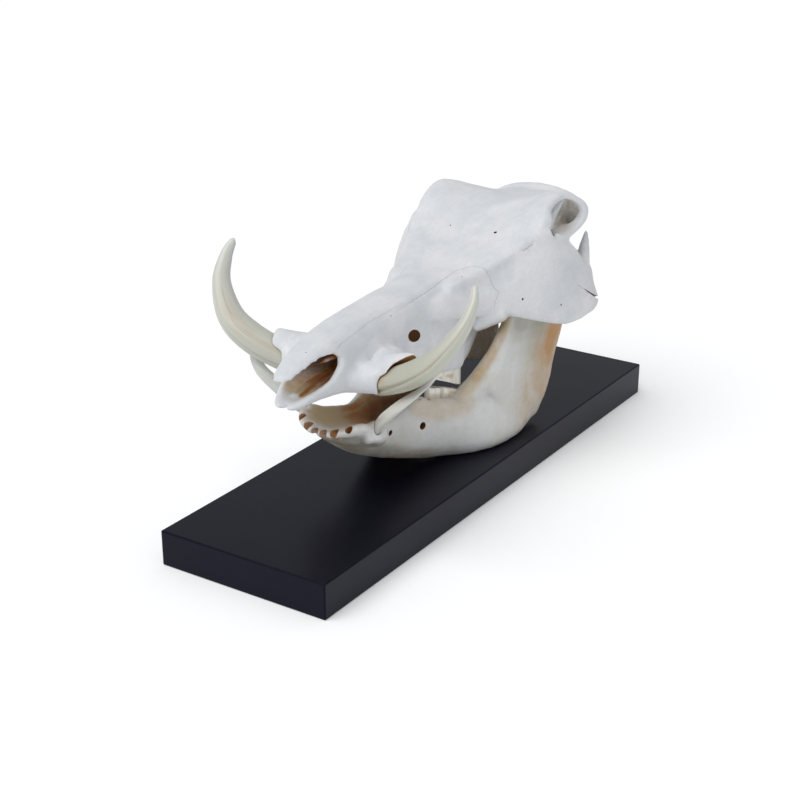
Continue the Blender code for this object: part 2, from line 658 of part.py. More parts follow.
def main():
    for obj in list(bpy.data.objects):
        bpy.data.objects.remove(obj)

    seat = bpy.data.objects.new("cranium_seat", None)
    bpy.context.scene.collection.objects.link(seat)
    turn = Matrix.Rotation(TILT_ROLL, 4, "Y")
    seat.matrix_world = Matrix.Translation(TILT_PIVOT) @ turn @ Matrix.Translation(-TILT_PIVOT)

    bm = bmesh.new()
    board_size = Matrix.Diagonal((BOARD_WIDTH, BOARD_LENGTH, BOARD_THICKNESS, 1))
    bmesh.ops.create_cube(bm, size=1, matrix=Matrix.Translation((0, 0, BOARD_THICKNESS / 2)) @ board_size)
    bmesh.ops.bevel(bm, geom=bm.edges[:], offset=BOARD_EDGE_ROUND, segments=2, profile=0.5, affect="EDGES",
                    material=-1)
    new_object("board", bm, (0.012, 0.012, 0.015), 0.3)

    bone_white = (0.80, 0.80, 0.80)
    enamel = (0.78, 0.76, 0.70)
    ivory = (0.75, 0.70, 0.55)
    cranium_carving = (("nose_sides", cut_nose_sides), ("nose_cavity", cut_nose),
                       ("nose_notch", cut_nose_notch), ("orbits", cut_orbit),
                       ("cheek_hollows", cut_cheek_hollow), ("foramina", cut_foramina),
                       ("skull_back", cut_skull_back), ("socket_fronts", cut_socket_fronts))
    cranium = bone("cranium", build_cranium, VOXEL_CRANIUM, CRANIUM_KEEP, cranium_carving,
                   (("upper_sockets", cut_upper_sockets),), bone_white, seat)
    for name, shape in (("hinge_hollows", cut_hinges), ("branch_room", cut_branch_room),
                        ("peak_room", cut_peak_room)):
        cut(cranium, cutter(name, shape))
    jaw_carving = (("jaw_bite", cut_jaw_bite), ("incisor_sockets", cut_incisor_sockets))
    jaw_fitting = (("lower_sockets", cut_lower_sockets), ("second_sockets", cut_second_sockets),
                   ("board_top", cut_board_top))
    bone("mandible", build_jaw, VOXEL_JAW, JAW_KEEP, jaw_carving, jaw_fitting, bone_white)

    for side in ("left", "right"):
        bm = bmesh.new()
        upper_tusk(bm, side)
        new_object(f"upper_tusk_{side}", bm, ivory, 0.35).parent = seat
        bm = bmesh.new()
        lower_tusk(bm, side)
        new_object(f"lower_tusk_{side}", bm, ivory, 0.35)
        for kind in MOLARS:
            bm = bmesh.new()
            molar(bm, kind, side)
            obj = new_object(f"{kind}_{side}", bm, enamel, 0.3)
            if kind.startswith("upper"):
                obj.parent = seat


if __name__ == "__main__":
    main()
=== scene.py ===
"""Looks of the warthog skull on its black board: bone, ivory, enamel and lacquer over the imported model.

Metres, +Z up. The snout points to -Y and the animal's left is +X.
"""
import math

import bmesh
import bpy
import numpy as np
from mathutils import Matrix, Vector


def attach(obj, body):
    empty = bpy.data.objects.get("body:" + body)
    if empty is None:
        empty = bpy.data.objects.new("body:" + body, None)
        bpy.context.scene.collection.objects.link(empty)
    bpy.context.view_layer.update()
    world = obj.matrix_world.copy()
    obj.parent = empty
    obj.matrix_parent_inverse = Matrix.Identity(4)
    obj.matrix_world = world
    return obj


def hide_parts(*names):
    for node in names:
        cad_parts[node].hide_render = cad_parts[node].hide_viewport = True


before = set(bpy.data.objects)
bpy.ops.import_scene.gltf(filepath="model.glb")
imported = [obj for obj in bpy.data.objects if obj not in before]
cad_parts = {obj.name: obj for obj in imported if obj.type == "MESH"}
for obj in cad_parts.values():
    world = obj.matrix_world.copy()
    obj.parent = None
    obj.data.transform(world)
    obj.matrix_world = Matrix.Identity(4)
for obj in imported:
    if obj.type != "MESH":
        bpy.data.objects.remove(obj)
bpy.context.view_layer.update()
scene = bpy.context.scene

# Camera: where it stands, how it is turned and its lens, for a frame of 800 by 800
CAMERA_PLACE = (.7495, -1.1935, .656)
CAMERA_DOWN = 22.449
CAMERA_ROUND = 33.317
CAMERA_LENS = 69.625

# Studio: half the floor's width, its own faint glow, the sky's and the lamp's strength, how widely the
# lamp's light is spread and where it comes from
FLOOR_HALF = 8
FLOOR_GLOW = 0.12
SKY_STRENGTH = 0.50
LAMP_STRENGTH = 1.75
LAMP_SPREAD = math.radians(55)
LAMP_FROM = Vector((-0.14, -0.50, 0.86))

# Board
BOARD_LENGTH = 0.600
BOARD_WIDTH = 0.177
BOARD_THICKNESS = 0.034
BOARD_EDGE_ROUND = .0015

# The skull sits on the jaw's two hinge knuckles, a little askew
SEAT_PIVOT = Vector((0.0, 0.10, 0.18))
SEAT_ROLL = math.radians(-0.4)
SEAT = (Matrix.Translation(SEAT_PIVOT) @ Matrix.Rotation(SEAT_ROLL, 4, "Y")
        @ Matrix.Translation(-SEAT_PIVOT))

# Gaps and mesh sizes
TUSK_SOCKET_GAP = .0008
REST_GAP = .0003
# Room left in the cranium round the jaw's upper end
JAW_ROOM = .0013
CRISP_ANGLE = math.radians(58)
BODY_VOXEL = .002
CRANIUM_VOXEL = .0019
JAW_VOXEL = .0016

# Finer steps than a plain solid needs, round a form and along it
FINE_AROUND = 2
FINE_ALONG = 2

# Rounds of smoothing after the forms' first fusing and after the last
FUSE_ROUNDS = 5
FINISH_ROUNDS = 4

# Unevenness of grown bone: how far apart its swellings are, and how high
UNEVENNESS = ((.028, .0005), (.007, .00012))

# Outlines of a plate and of the jaw's upright branch, as (share of the length, share of the thickness)
PLATE_OUTLINE = ((0, 0), (.06, .36), (.3, .5), (.7, .5), (.94, .36), (1, 0), (.94, -.36), (.7, -.5),
                 (.3, -.5), (.06, -.36))
BRANCH_OUTLINE = ((0, 0), (.05, .42), (.3, .5), (.7, .5), (.95, .42), (1, 0), (.95, -.42), (.7, -.4),
                  (.3, -.4), (.05, -.42))

# Upper tusk: the middle line of the left one, from its root to its tip, and its radius there
UPPER_TUSK = [
    ((.026, -.098, .156), .007),
    ((.03, -.122, .151), .0105),
    ((.039, -.143, .15), .0138),
    ((.0661, -.1587, .1622), .0145),
    ((.0904, -.1661, .1757), .0145),
    ((.1106, -.1661, .1915), .0126),
    ((.128, -.156, .2165), .0086),
    ((.1325, -.144, .2368), .0058),
    ((.1304, -.1375, .2495), .0034),
    ((.1298, -.1362, .252), .001),
]

# The right tusks differ a little: a thicker upper one with its tip further in, and a lower one
# that stands further out
RIGHT_TUSK_SWELL = 1.08
RIGHT_TUSK_LEAN = 0.004
RIGHT_LOWER_SPREAD = 0.011

# Lower tusk: the same for the left one
LOWER_TUSK = [
    ((.021, -.123, .083), .005),
    ((.0325, -.142, .1), .0064),
    ((.0465, -.154, .1165), .007),
    ((.062, -.161, .1315), .0063),
    ((.0735, -.163, .1424), .0056),
    ((.0835, -.157, .1515), .0046),
    ((.089, -.145, .1578), .0035),
    ((.091, -.133, .162), .0012),
]

# Steps round a tusk and along each span of it, and how long the streaks of its grain are drawn out
TUSK_AROUND = 32
TUSK_ALONG = 8
TUSK_STREAK = 0.7

# How strongly the tusks have aged towards the root, and how much less the right ones have
TUSK_AGED = 1.9
RIGHT_TUSK_AGED = 0.65
RIGHT_GRAIN_SHIFT = 7

# How flat the tusks are, and the direction across which they are thin
UPPER_FLAT = 0.8
UPPER_FLAT_AXIS = (-.69, -.1, .72)
LOWER_FLAT = 0.5
LOWER_FLAT_AXIS = (.51, .77, -.38)

# Furrows of the upper tusks as (angle, half width, depth, middle and reach along the length)
UPPER_FURROWS = ((-.12, .17, .17, .24, .2), (-.1, .09, .07, .58, .2),
                 (1.05, .35, .07, .4, .3), (2.6, .35, .06, .35, .35), (-2.2, .3, .05, .4, .3))

# Worn inner face of the lower tusks: its angle, half width, depth, and the share of the length it takes
# to reach that depth
LOWER_WORN_ANGLE = 1.6
LOWER_WORN_WIDTH = 0.5
LOWER_WORN_DEPTH = 0.15
LOWER_WORN_START = 0.5

# Stains of the tusks as (angle, share of the length, reach in both, strength)
UPPER_STAINS = {"left": ((-.1, .6, .1, .16, .75), (-.16, .32, .1, .14, .5),
                         (1.57, .32, 1.2, .035, 1.0)),
                "right": ((.95, .5, .4, .16, .7),)}
LOWER_STAINS = {"left": ((-1.35, .78, .5, .22, .95), (-1.60, .3, .4, .1, .5)),
                "right": ((1.6, .95, .9, .12, .7),)}

# Cranium from the tip of the nose bones to the back: half outlines, top middle to bottom middle
CRANIUM_BODY = [
    (-.241, [(0, .1755), (.0022, .1752), (.0046, .1742), (.0056, .1728), (.0054, .17), (.0044, .167),
     (.0024, .1652), (0, .165)]),
    (-.233, [(0, .18), (.0055, .1795), (.0095, .177), (.0115, .171), (.0122, .161), (.012, .151),
     (.0085, .1452), (0, .1458)]),
    (-.21, [(0, .19), (.008, .1892), (.014, .1855), (.0175, .178), (.02, .167), (.021, .156), (.016, .148),
     (0, .148)]),
    (-.185, [(0, .197), (.009, .196), (.0165, .192), (.022, .183), (.0265, .172), (.029, .16), (.025, .149),
     (0, .149)]),
    (-.15, [(0, .2025), (.009, .2015), (.018, .1975), (.0255, .188), (.031, .175), (.033, .159),
     (.03, .141), (0, .143)]),
    (-.115, [(0, .2045), (.009, .2035), (.0185, .2), (.026, .191), (.031, .177), (.032, .159), (.029, .135),
     (0, .137)]),
    (-.08, [(0, .206), (.009, .205), (.0195, .202), (.0265, .193), (.029, .179), (.0305, .159),
     (.0295, .127), (0, .134)]),
    (-.045, [(0, .207), (.01, .206), (.02, .203), (.027, .194), (.0285, .179), (.0305, .155), (.031, .12),
     (0, .132)]),
    (-.01, [(0, .2085), (.012, .208), (.0235, .207), (.0305, .199), (.0315, .184), (.0325, .155),
     (.0325, .115), (0, .13)]),
    (.02, [(0, .212), (.015, .2112), (.033, .2118), (.0465, .2095), (.044, .19), (.036, .162), (.03, .12),
     (0, .129)]),
    (.055, [(0, .222), (.018, .2212), (.043, .223), (.06, .221), (.052, .2), (.038, .17), (.024, .145),
     (0, .133)]),
    (.085, [(0, .232), (.022, .2315), (.056, .2362), (.073, .2335), (.058, .214), (.04, .185), (.026, .15),
     (0, .14)]),
    (.11, [(0, .24), (.025, .2415), (.059, .2556), (.073, .2525), (.059, .232), (.044, .195), (.028, .152),
     (0, .145)]),
    (.135, [(0, .246), (.027, .2485), (.059, .2588), (.073, .2545), (.056, .234), (.045, .2), (.03, .155),
     (0, .149)]),
    (.155, [(0, .2465), (.025, .2485), (.05, .252), (.06, .246), (.047, .223), (.041, .195), (.031, .158),
     (0, .152)]),
    (.175, [(0, .2435), (.022, .244), (.042, .2435), (.047, .237), (.039, .213), (.037, .188), (.03, .162),
     (0, .156)]),
    (.195, [(0, .2425), (.02, .242), (.039, .2385), (.043, .232), (.035, .211), (.032, .188), (.026, .164),
     (0, .158)]),
    (.213, [(0, .242), (.02, .2405), (.036, .235), (.038, .224), (.029, .206), (.026, .185), (.02, .166),
     (0, .162)]),
]

# Crest across the back of the head, a plate with two wings
BACK_CREST = [(0, .2455), (.025, .243), (.043, .2375), (.055, .229), (.056, .215), (.045, .204),
              (.032, .194), (0, .188)]
BACK_CREST_SLICES = ((.209, .9), (.213, .98), (.22, 1.0), (.2245, .94))
BACK_CREST_MIDDLE = .218
BACK_CREST_SWEEP = 1.5

# Cheek arch: (y, upper edge, lower edge, thickness, outward bulge)
CHEEK_PLATE = [
    (-.06, (.02, .188), (.028, .17), .006, 0),
    (-.03, (.027, .196), (.036, .172), .012, .001),
    (.005, (.035, .204), (.05, .168), .013, .001),
    (.04, (.048, .214), (.068, .161), .014, .002),
    (.07, (.065, .224), (.086, .15), .014, .004),
    (.092, (.075, .227), (.0945, .143), .014, .004),
    (.112, (.08, .22), (.098, .141), .014, .003),
    (.13, (.083, .209), (.101, .143), .014, .002),
    (.146, (.084, .192), (.101, .152), .013, 0),
    (.155, (.088, .176), (.098, .162), .007, 0),
]

# Bone ring round the eye socket, from the cheek's upper edge forward, over and round to it again
BROW_RING = [
    ((.0795, .116, .219), .0055),
    ((.0765, .109, .229), .0055),
    ((.0715, .102, .238), .006),
    ((.067, .102, .246), .0065),
    ((.0665, .114, .252), .0062),
    ((.069, .133, .2535), .0058),
    ((.077, .149, .2475), .0052),
    ((.0825, .1545, .239), .0052),
    ((.082, .152, .231), .0055),
    ((.0795, .144, .2255), .0058),
    ((.0795, .127, .2225), .0058),
    ((.0795, .116, .219), .005),
]

# The left brow of this animal stands a little higher than the right one
BROW_LIFT = .0065
BROW_LIFT_MIDDLE = Vector((0.072, 0.130, 0.240))
BROW_LIFT_REACH = Vector((0.045, 0.050, 0.035))

# Nose hollow, half outlines
CAVITY = [
    (-.262, [(0, .169), (.006, .1685), (.008, .1665), (.0085, .162), (.008, .156), (.005, .15), (0, .149)]),
    (-.235, [(0, .1735), (.005, .173), (.0082, .17), (.0092, .165), (.009, .157), (.0055, .1508),
     (0, .1498)]),
    (-.21, [(0, .1835), (.008, .1825), (.013, .178), (.0165, .169), (.0168, .16), (.01, .154),
     (0, .1528)]),
    (-.18, [(0, .189), (.0085, .188), (.015, .183), (.0195, .173), (.0195, .162), (.012, .1565),
     (0, .1555)]),
    (-.14, [(0, .19), (.008, .1885), (.014, .183), (.0165, .174), (.0155, .165), (.01, .159), (0, .158)]),
    (-.1, [(0, .185), (.005, .184), (.009, .18), (.01, .175), (.009, .17), (.005, .166), (0, .165)]),
]

# Hole through which nerves leave the upper jaw bone, and the radii of the two in the forehead
CHEEK_HOLE = [((.045, -.0965, .1775), .0062), ((.0315, -.0765, .17), .0062), ((.0195, -.0585, .1635), .005)]
FOREHEAD_HOLES = {"left": .0017, "right": .0008}

# Small pits on the left as (place, way out of the bone, radius), and how deep they go
PITS = [
    ((.0745, .0472, .1785), (.84, -.49, .23), .0011), ((.0965, .0848, .166), (.93, -.37, .05), .0009),
    ((.0358, -.0017, .2086), (-.04, -.15, .99), .0007), ((.0057, -.2075, .1905), (.13, -.32, .94), .0005),
    ((.0231, -.103, .1961), (.81, -.06, .58), .0006),
]
PIT_DEPTH = .0035

# Hinge knuckles of the jaw
KNUCKLE = (.063, .154, .172)
KNUCKLE_RADII = (.017, .009, .007)
NECK = (.062, .152, .16)
NECK_RADII = (.01, .01, .012)

# Jaw's front end, where its halves are grown together: half outlines
JAW_FRONT = [
    (-.1855, [(0, .1072), (.005, .1069), (.009, .1064), (.01, .1052), (.008, .1036), (.0045, .1027),
     (0, .1023)]),
    (-.179, [(0, .1085), (.012, .109), (.023, .1115), (.0252, .1085), (.02, .104), (.011, .1), (0, .099)]),
    (-.165, [(0, .103), (.014, .107), (.031, .1152), (.036, .111), (.03, .1015), (.014, .0918),
     (0, .0898)]),
    (-.15, [(0, .098), (.014, .1015), (.032, .11), (.0395, .1055), (.033, .0945), (.016, .081),
     (0, .0785)]),
    (-.13, [(0, .093), (.012, .096), (.028, .1065), (.036, .1005), (.031, .0855), (.016, .0685),
     (0, .0655)]),
    (-.105, [(0, .084), (.01, .088), (.024, .1), (.032, .094), (.03, .076), (.018, .057), (0, .0545)]),
    (-.085, [(0, .072), (.01, .076), (.024, .096), (.033, .088), (.034, .066), (.02, .049), (0, .05)]),
]

# Jaw's left side bar, whole outlines
JAW_SIDE = [
    (-.105, [(.014, .09), (.024, .099), (.031, .092), (.031, .077), (.026, .062), (.018, .056), (.01, .059),
     (.008, .075)]),
    (-.08, [(.016, .094), (.027, .1025), (.035, .093), (.037, .072), (.033, .055), (.023, .047),
     (.012, .051), (.01, .07)]),
    (-.055, [(.019, .096), (.034, .101), (.041, .089), (.0425, .069), (.0395, .049), (.029, .0395),
     (.016, .044), (.014, .07)]),
    (-.03, [(.019, .09), (.037, .094), (.0455, .084), (.05, .066), (.0485, .044), (.037, .0345),
     (.022, .041), (.016, .07)]),
    (-.01, [(.019, .085), (.038, .0885), (.0505, .08), (.057, .063), (.0595, .041), (.049, .0325),
     (.028, .041), (.018, .067)]),
    (.01, [(.02, .081), (.042, .0865), (.056, .0785), (.063, .062), (.068, .0395), (.059, .0325),
     (.037, .041), (.022, .064)]),
    (.03, [(.026, .073), (.05, .089), (.062, .08), (.068, .062), (.072, .04), (.064, .0325), (.047, .041),
     (.032, .06)]),
    (.055, [(.042, .08), (.055, .094), (.066, .083), (.0695, .062), (.0725, .04), (.065, .0325),
     (.053, .041), (.045, .06)]),
    (.08, [(.052, .08), (.06, .09), (.067, .08), (.0695, .062), (.07, .043), (.064, .0355), (.056, .044),
     (.053, .06)]),
    (.093, [(.055, .078), (.06, .086), (.065, .078), (.0675, .062), (.0675, .048), (.0635, .042),
     (.058, .048), (.056, .06)]),
]

# Upright branch: (height, front y, rear y, middle x, thickness)
JAW_BRANCH = [
    (.04, .045, .098, .063, .012),
    (.06, .036, .121, .062, .014),
    (.08, .022, .1345, .0605, .0135),
    (.095, .014, .1435, .0595, .013),
    (.11, .021, .1525, .06, .011),
    (.125, .026, .161, .0605, .01),
    (.14, .032, .1685, .061, .01),
    (.155, .038, .1725, .0615, .01),
    (.168, .047, .17, .0615, .009),
]

# Holes through which nerves leave the lower jaw, and how many sides they have
CHIN_HOLES = (
    ([((.05, -.08, .083), .0037), ((.0355, -.071, .081), .0037), ((.026, -.066, .08), .003)], 8),
    ([((.05, -.134, .095), .0029), ((.034, -.1205, .0905), .0029), ((.025, -.114, .088), .0022)], 8),
    ([((.032, -.171, .098), .0016), ((.0283, -.1675, .1019), .0016), ((.0245, -.163, .106), .001)], 6),
)

# Sockets of the lost front teeth as (x, y, z, size), and the way down one of them as the share left of x,
# what is added to y and to z, and the radius
INCISOR_SOCKET = ((1.12, -.0135, .0075, .006), (1, -.0025, -.0015, .0046), (.94, .004, -.0075, .0036),
                  (.92, .0058, -.0095, .0014))
INCISOR_SOCKETS = ((.0045, -.1785, .1045, 1.0), (.014, -.1745, .107, .98), (.025, -.1685, .1105, .82))

# Molars, each as (front y, rear y), (inner x, outer x), the crown's height at the front and the
# rear, the root's height at the front and the rear, and the number of lobes
MOLARS = {
    "upper_third_molar": ((-.045, .0045), (.0225, .0358), (.1175, .096), (.134, .124), 3),
    "lower_third_molar": ((-.0285, .0135), (.0225, .0345), (.1035, .0875), (.078, .066), 3),
    "lower_second_molar": ((-.049, -.0292), (.022, .033), (.1095, .104), (.085, .08), 2),
}

# Molars: points round a crown, how square it is, how deep its waists and flutes are, the dip of its worn
# top within the rim, and the rings from its root to its top as (height share, size)
MOLAR_AROUND = 96
MOLAR_SQUARE = 0.55
MOLAR_WAIST = 0.16
MOLAR_FLUTE = 0.05
MOLAR_DIP = .0007
MOLAR_RIM = 0.85
MOLAR_RINGS = ((0, .85), (.04, .97), (.1, 1), (.25, 1), (.4, 1), (.55, 1), (.7, 1), (.85, 1), (.95, .99),
               (.985, .96), (1, .92), (1, .84), (1, .6), (1, .3))

# Sutures: path, strength and sides
CRANIUM_SEAMS = [
    # between the nose bone and the upper jaw bone
    ([(.0201, -.1839, .1874), (.0196, -.1772, .1903), (.0196, -.1681, .1925), (.0198, -.1512, .1955),
     (.0192, -.1265, .1985), (.0197, -.1079, .1991), (.0205, -.0877, .2007)], .5, "both"),
    # along the top of the upper jaw bone and down between it and the cheek bone
    ([(.0229, -.09, .1979), (.0228, -.077, .199), (.0222, -.0566, .2003), (.0223, -.0385, .202),
     (.0228, -.0177, .2057), (.024, .003, .2082), (.0275, .0121, .2084), (.033, .0205, .21),
     (.045, .0205, .2115), (.0518, .0232, .2047), (.0558, .0239, .1943), (.0597, .0265, .1883),
     (.0595, .0198, .1794), (.0604, .0187, .17)], .65, "left"),
    ([(.0229, -.09, .1979), (.0222, -.0566, .2003), (.0223, -.0385, .202), (.0228, -.0177, .2057),
     (.024, .003, .2082)], .5, "right"),
    # short groove above the cheek
    ([(.0661, .0606, .2218), (.0685, .066, .2243), (.0712, .0723, .2273)], 1.0, "both"),
    # fine line up the brow
    ([(.027, .095, .237), (.045, .1, .248), (.062, .108, .26)], .3, "left"),
    # between the cheek bone and the temple bone
    ([(.0985, .113, .18), (.1005, .119, .176), (.103, .129, .168)], .7, "both"),
]

# How far from a suture it can still be noticed, in millimetres, and how many times its ends' fading
# goes into its length
SEAM_FAR = 6.0
SEAM_ENDS = 12
MM_PER_METRE = 1000

# How the surface is pressed in (or raised, where negative): path, half width, depth and sides
CRANIUM_PRESSES = [
    ([(.03, -.1, .165), (.0305, -.055, .165)], .022, .0035, "both"),
    ([(.042, .004, .2), (.06, .042, .205)], .016, .0015, "both"),
    ([(.03, .0262, .2111), (.0427, .051, .2173), (.0608, .0671, .2307)], .006, -.0008, "both"),
    ([(.0661, .0606, .2218), (.0712, .0723, .2273)], .003, .0007, "both"),
    ([(.031, -.158, .166), (.035, -.148, .169), (.033, -.138, .174)], .014, -.0022, "both"),
    ([(.0229, -.09, .1979), (.0222, -.0566, .2003), (.0228, -.0177, .2057)], .003, .0005, "both"),
]
JAW_PRESSES = [
    # hollow where the chewing muscle lay, with a raised edge before it
    ([(.068, .085, .12), (.07, .07, .08)], .026, .0025, "both"),
    ([(.0655, .043, .14), (.063, .0273, .1153), (.058, .01, .098)], .006, -.0012, "both"),
    # undercut below the front teeth
    ([(.005, -.178, .0985), (.017, -.172, .099), (.028, -.162, .099)], .01, .0022, "both"),
]

# Stains and painted shade: path, reach, strength, which faces take it, and sides
CRANIUM_TAN_STAIN_AND_SHADE = [
    # nose
    ([(0, -.205, .165), (0, -.12, .172)], .03, .9, "in", "left"),
    # gums, palate and wing plates
    ([(.0285, -.05, .122), (.029, .005, .109)], .01, .45, None, "both"),
    ([(.018, .04, .12), (.02, .09, .12)], .04, .6, None, "both"),
    # eye socket and the hollow behind it; the first two marks are painted shade
    ([(.068, .112, .24), (.066, .13, .236)], .024, .45, "in", "both"),
    ([(.04, .2, .222), (.034, .185, .225)], .03, .4, None, "left"),
    ([(.0805, .16, .2), (.083, .154, .185)], .008, .45, None, "both"),
    # under the cheek
    ([(.05, .015, .16), (.062, .06, .15), (.075, .08, .145)], .02, .7, (-.5, 0, -1), "both"),
]
CRANIUM_RUST = [
    ([(0, -.19, .172), (0, -.11, .174)], .027, 1.0, "in", "left"),
    ([(.0055, -.216, .1535), (.0048, -.19, .1575), (.0042, -.165, .1605)], .0024, 1.0, None, "left"),
    ([(.0085, -.194, .176), (.0105, -.178, .1775), (.0095, -.145, .178)], .01, 1.0, None, "both"),
    # spot in the eye socket
    ([(.068, .118, .241), (.06, .133, .236)], .007, .9, None, "left"),
    # rims of the upper tusks' sockets
    ([(.05, -.151, .154), (.0661, -.1587, .1622), (.09, -.1661, .1757)], .028, 1.0, "in", "both"),
    # wing plates
    ([(.019, .045, .125), (.02, .085, .125)], .036, .22, None, "both"),
]
CRANIUM_OLIVE_SHADE = [
    # painted shade at the foot of the cheek arch
    ([(.064, .032, .158), (.04, .014, .148)], .016, .6, None, "both"),
]
CRANIUM_DARK_SHADE = [
    # painted shade deep in the nose hollow
    ([(0, -.165, .176), (0, -.11, .176)], .02, .6, "in", "left"),
    # painted shade in the hollow behind the left eye socket
    ([(.04, .2, .222), (.034, .185, .225)], .03, .5, None, "left"),
]

JAW_TAN_STAIN_AND_SHADE = [
    # under the teeth
    ([(.0265, -.0766, .097), (.0369, -.058, .0925), (.0436, -.033, .086), (.047, -.0095, .085)], .018, .45,
     None, "both"),
    # front edge of the branch
    ([(.06, .04, .16), (.0602, .0361, .1512), (.0544, .0204, .1251), (.048, .007, .106)], .01, .75, None,
     "both"),
    ([(.05, .01, .11), (.044, -.001, .098), (.042, -.01, .093)], .012, .55, None, "both"),
    # painted shade on the inner face
    ([(.0145, -.15, .1), (.014, -.1, .085), (.02, -.05, .075), (.022, .0, .065)], .04, 1.0, (-1, 0, .3),
     "both"),
    # rear half of the branch
    ([(.064, .14, .16), (.065, .128, .12), (.067, .11, .08), (.07, .085, .05)], .062, .5, None, "both"),
    # painted shade on the underside and chin
    ([(.023, -.1216, .06), (.037, -.07, .044)], .018, .45, None, "both"),
    ([(.013, -.17, .088), (.016, -.15, .078)], .02, .65, (.3, -.4, -.8), "both"),
    # gaps between the front teeth's sockets
    ([(0, -.181, .108), (.02, -.176, .111), (.03, -.166, .113)], .006, .4, None, "both"),
]
JAW_RUST_STAIN_AND_SHADE = [
    # painted shade on the inner face
    ([(.014, -.105, .085), (.018, -.05, .075), (.022, .0, .065)], .032, .7, (-1, 0, .2), "both"),
    # round the lower tusks' roots and two small pits behind them
    ([(.037, -.144, .099), (.042, -.14, .101)], .0045, .9, None, "both"),
    ([(.03, -.07, .103), (.031, -.066, .103)], .0028, .9, None, "left"),
    ([(.033, -.056, .101), (.0335, -.054, .101)], .0022, .9, None, "left"),
]
JAW_DARK_SHADE = [
    # painted shade on the underside and chin
    ([(.01, -.155, .078), (.021, -.1216, .064), (.0329, -.0862, .052), (.039, -.06, .044)], .018, .24, (.3,
     -.3, -.8), "both"),
    ([(.006, -.172, .092), (.02, -.164, .09), (.03, -.148, .084)], .018, .28, (.2, -.5, -.8), "both"),
    # painted shade on the inner face
    ([(.014, -.08, .08), (.02, -.03, .07)], .03, .3, (-1, 0, .2), "both"),
]

JAW_OLIVE_SHADE = [
    # painted shadow below the cheek arch, partly a grey stain
    ([(.0665, .06, .146), (.0665, .09, .139), (.0665, .115, .136), (.0665, .145, .145)], .05, .3, None,
     "both"),
    ([(.0665, .06, .148), (.0665, .09, .142), (.0665, .115, .138), (.0665, .145, .145)], .034, .5, None,
     "both"),
    ([(.0665, .06, .152), (.0665, .09, .147), (.0665, .115, .143), (.0665, .145, .148)], .024, .7, None,
     "both"),
    # painted shade on the chin and the underside behind it
    ([(.004, -.172, .0935), (.015, -.167, .0935), (.026, -.157, .092), (.033, -.14, .085)], .018, .75, (.2,
     -.5, -.84), "both"),
    ([(.013, -.155, .079), (.023, -.1216, .067), (.031, -.095, .056)], .018, .5, (.4, -.3, -.85), "both"),
    ([(.031, -.095, .056), (.04, -.055, .043), (.046, -.035, .04)], .016, .35, (.4, -.3, -.85), "both"),
]
JAW_ORANGE = [
    # rear edge of the branch
    ([(.0665, .16, .152), (.0665, .144, .13), (.0665, .128, .1131), (.0665, .12, .1012)], .042, .3, None,
     "both"),
    ([(.0665, .16, .152), (.0665, .145, .13), (.0665, .129, .1131), (.0665, .121, .103)], .03, .6, None,
     "both"),
    ([(.0665, .16, .152), (.0665, .145, .13), (.0665, .129, .114), (.0665, .123, .106)], .019, .85, None,
     "both"),
    ([(.067, .115, .092), (.068, .105, .074)], .028, .32, None, "both"),
]

# Where tartar and soil have gathered on the teeth
TOOTH_TAN = {
    "upper_third_molar": [([(.036, -.045, .1195), (.036, -.02, .114), (.036, .003, .1085)], .0016, .7, None,
                           "both")],
    "lower_third_molar": [([(.0345, -.0285, .095), (.0345, .0135, .088)], .0035, .6, None, "both"),
                          ([(.033, -.0285, .104), (.033, -.0285, .094)], .0025, 1.0, None, "both")],
    "lower_second_molar": [([(.033, -.049, .101), (.033, -.0292, .095)], .0035, .6, None, "both"),
                           ([(.033, -.0292, .104), (.033, -.0292, .094)], .0025, 1.0, None, "both")],
}


def span(p0, p1, p2, p3, steps):
    """`steps` points from p1 on towards p2, on a smooth curve through all four."""
    return [0.5 * (2 * p1 + (p2 - p0) * t + (2 * p0 - 5 * p1 + 4 * p2 - p3) * t ** 2
                   + (3 * p1 - p0 - 3 * p2 + p3) * t ** 3) for t in np.arange(steps) / steps]


def smooth_curve(points, steps):
    """Points along a smooth curve through the given points, `steps` for each span."""
    pts = np.array(points, float)
    padded = np.vstack([2 * pts[0] - pts[1], pts, 2 * pts[-1] - pts[-2]])
    spans = [span(*padded[i:i + 4], steps) for i in range(len(pts) - 1)]
    return np.vstack([*spans, pts[-1:]])


def smooth_ring(points, steps):
    """The same for a closed ring."""
    pts = np.array(points, float)
    return np.vstack([span(*np.roll(pts, 1 - i, axis=0)[:4], steps) for i in range(len(pts))])


def skin(bm, rings):
    """A closed body through rings of equal point counts: a disc pushed from ring to ring."""
    body = bmesh.new()
    disc = bmesh.ops.create_circle(body, cap_ends=True, segments=len(rings[0]), radius=1)
    face = disc["verts"][0].link_faces[0]
    for step, ring in enumerate(rings):
        if step:
            pushed = bmesh.ops.extrude_face_region(body, geom=[face, *face.edges])
            face = next(item for item in pushed["geom"] if isinstance(item, bmesh.types.BMFace))
        for vert, point in zip(face.verts, ring):
            vert.co = point
    bmesh.ops.recalc_face_normals(body, faces=body.faces)
    mesh = bpy.data.meshes.new("body")
    body.to_mesh(mesh)
    body.free()
    bm.from_mesh(mesh)
    bpy.data.meshes.remove(mesh)


def skin_smoothly(bm, outlines, steps):
    """The same through `steps` rings for each span between outlines."""
    stacked = np.array(outlines)
    rings = smooth_curve(stacked.reshape(len(stacked), -1), steps)
    skin(bm, rings.reshape(len(rings), -1, 3))


def side_sign(sides):
    """What x is multiplied by: the tables give the left side."""
    return {"left": (1,), "right": (-1,), "both": (1, -1)}[sides]


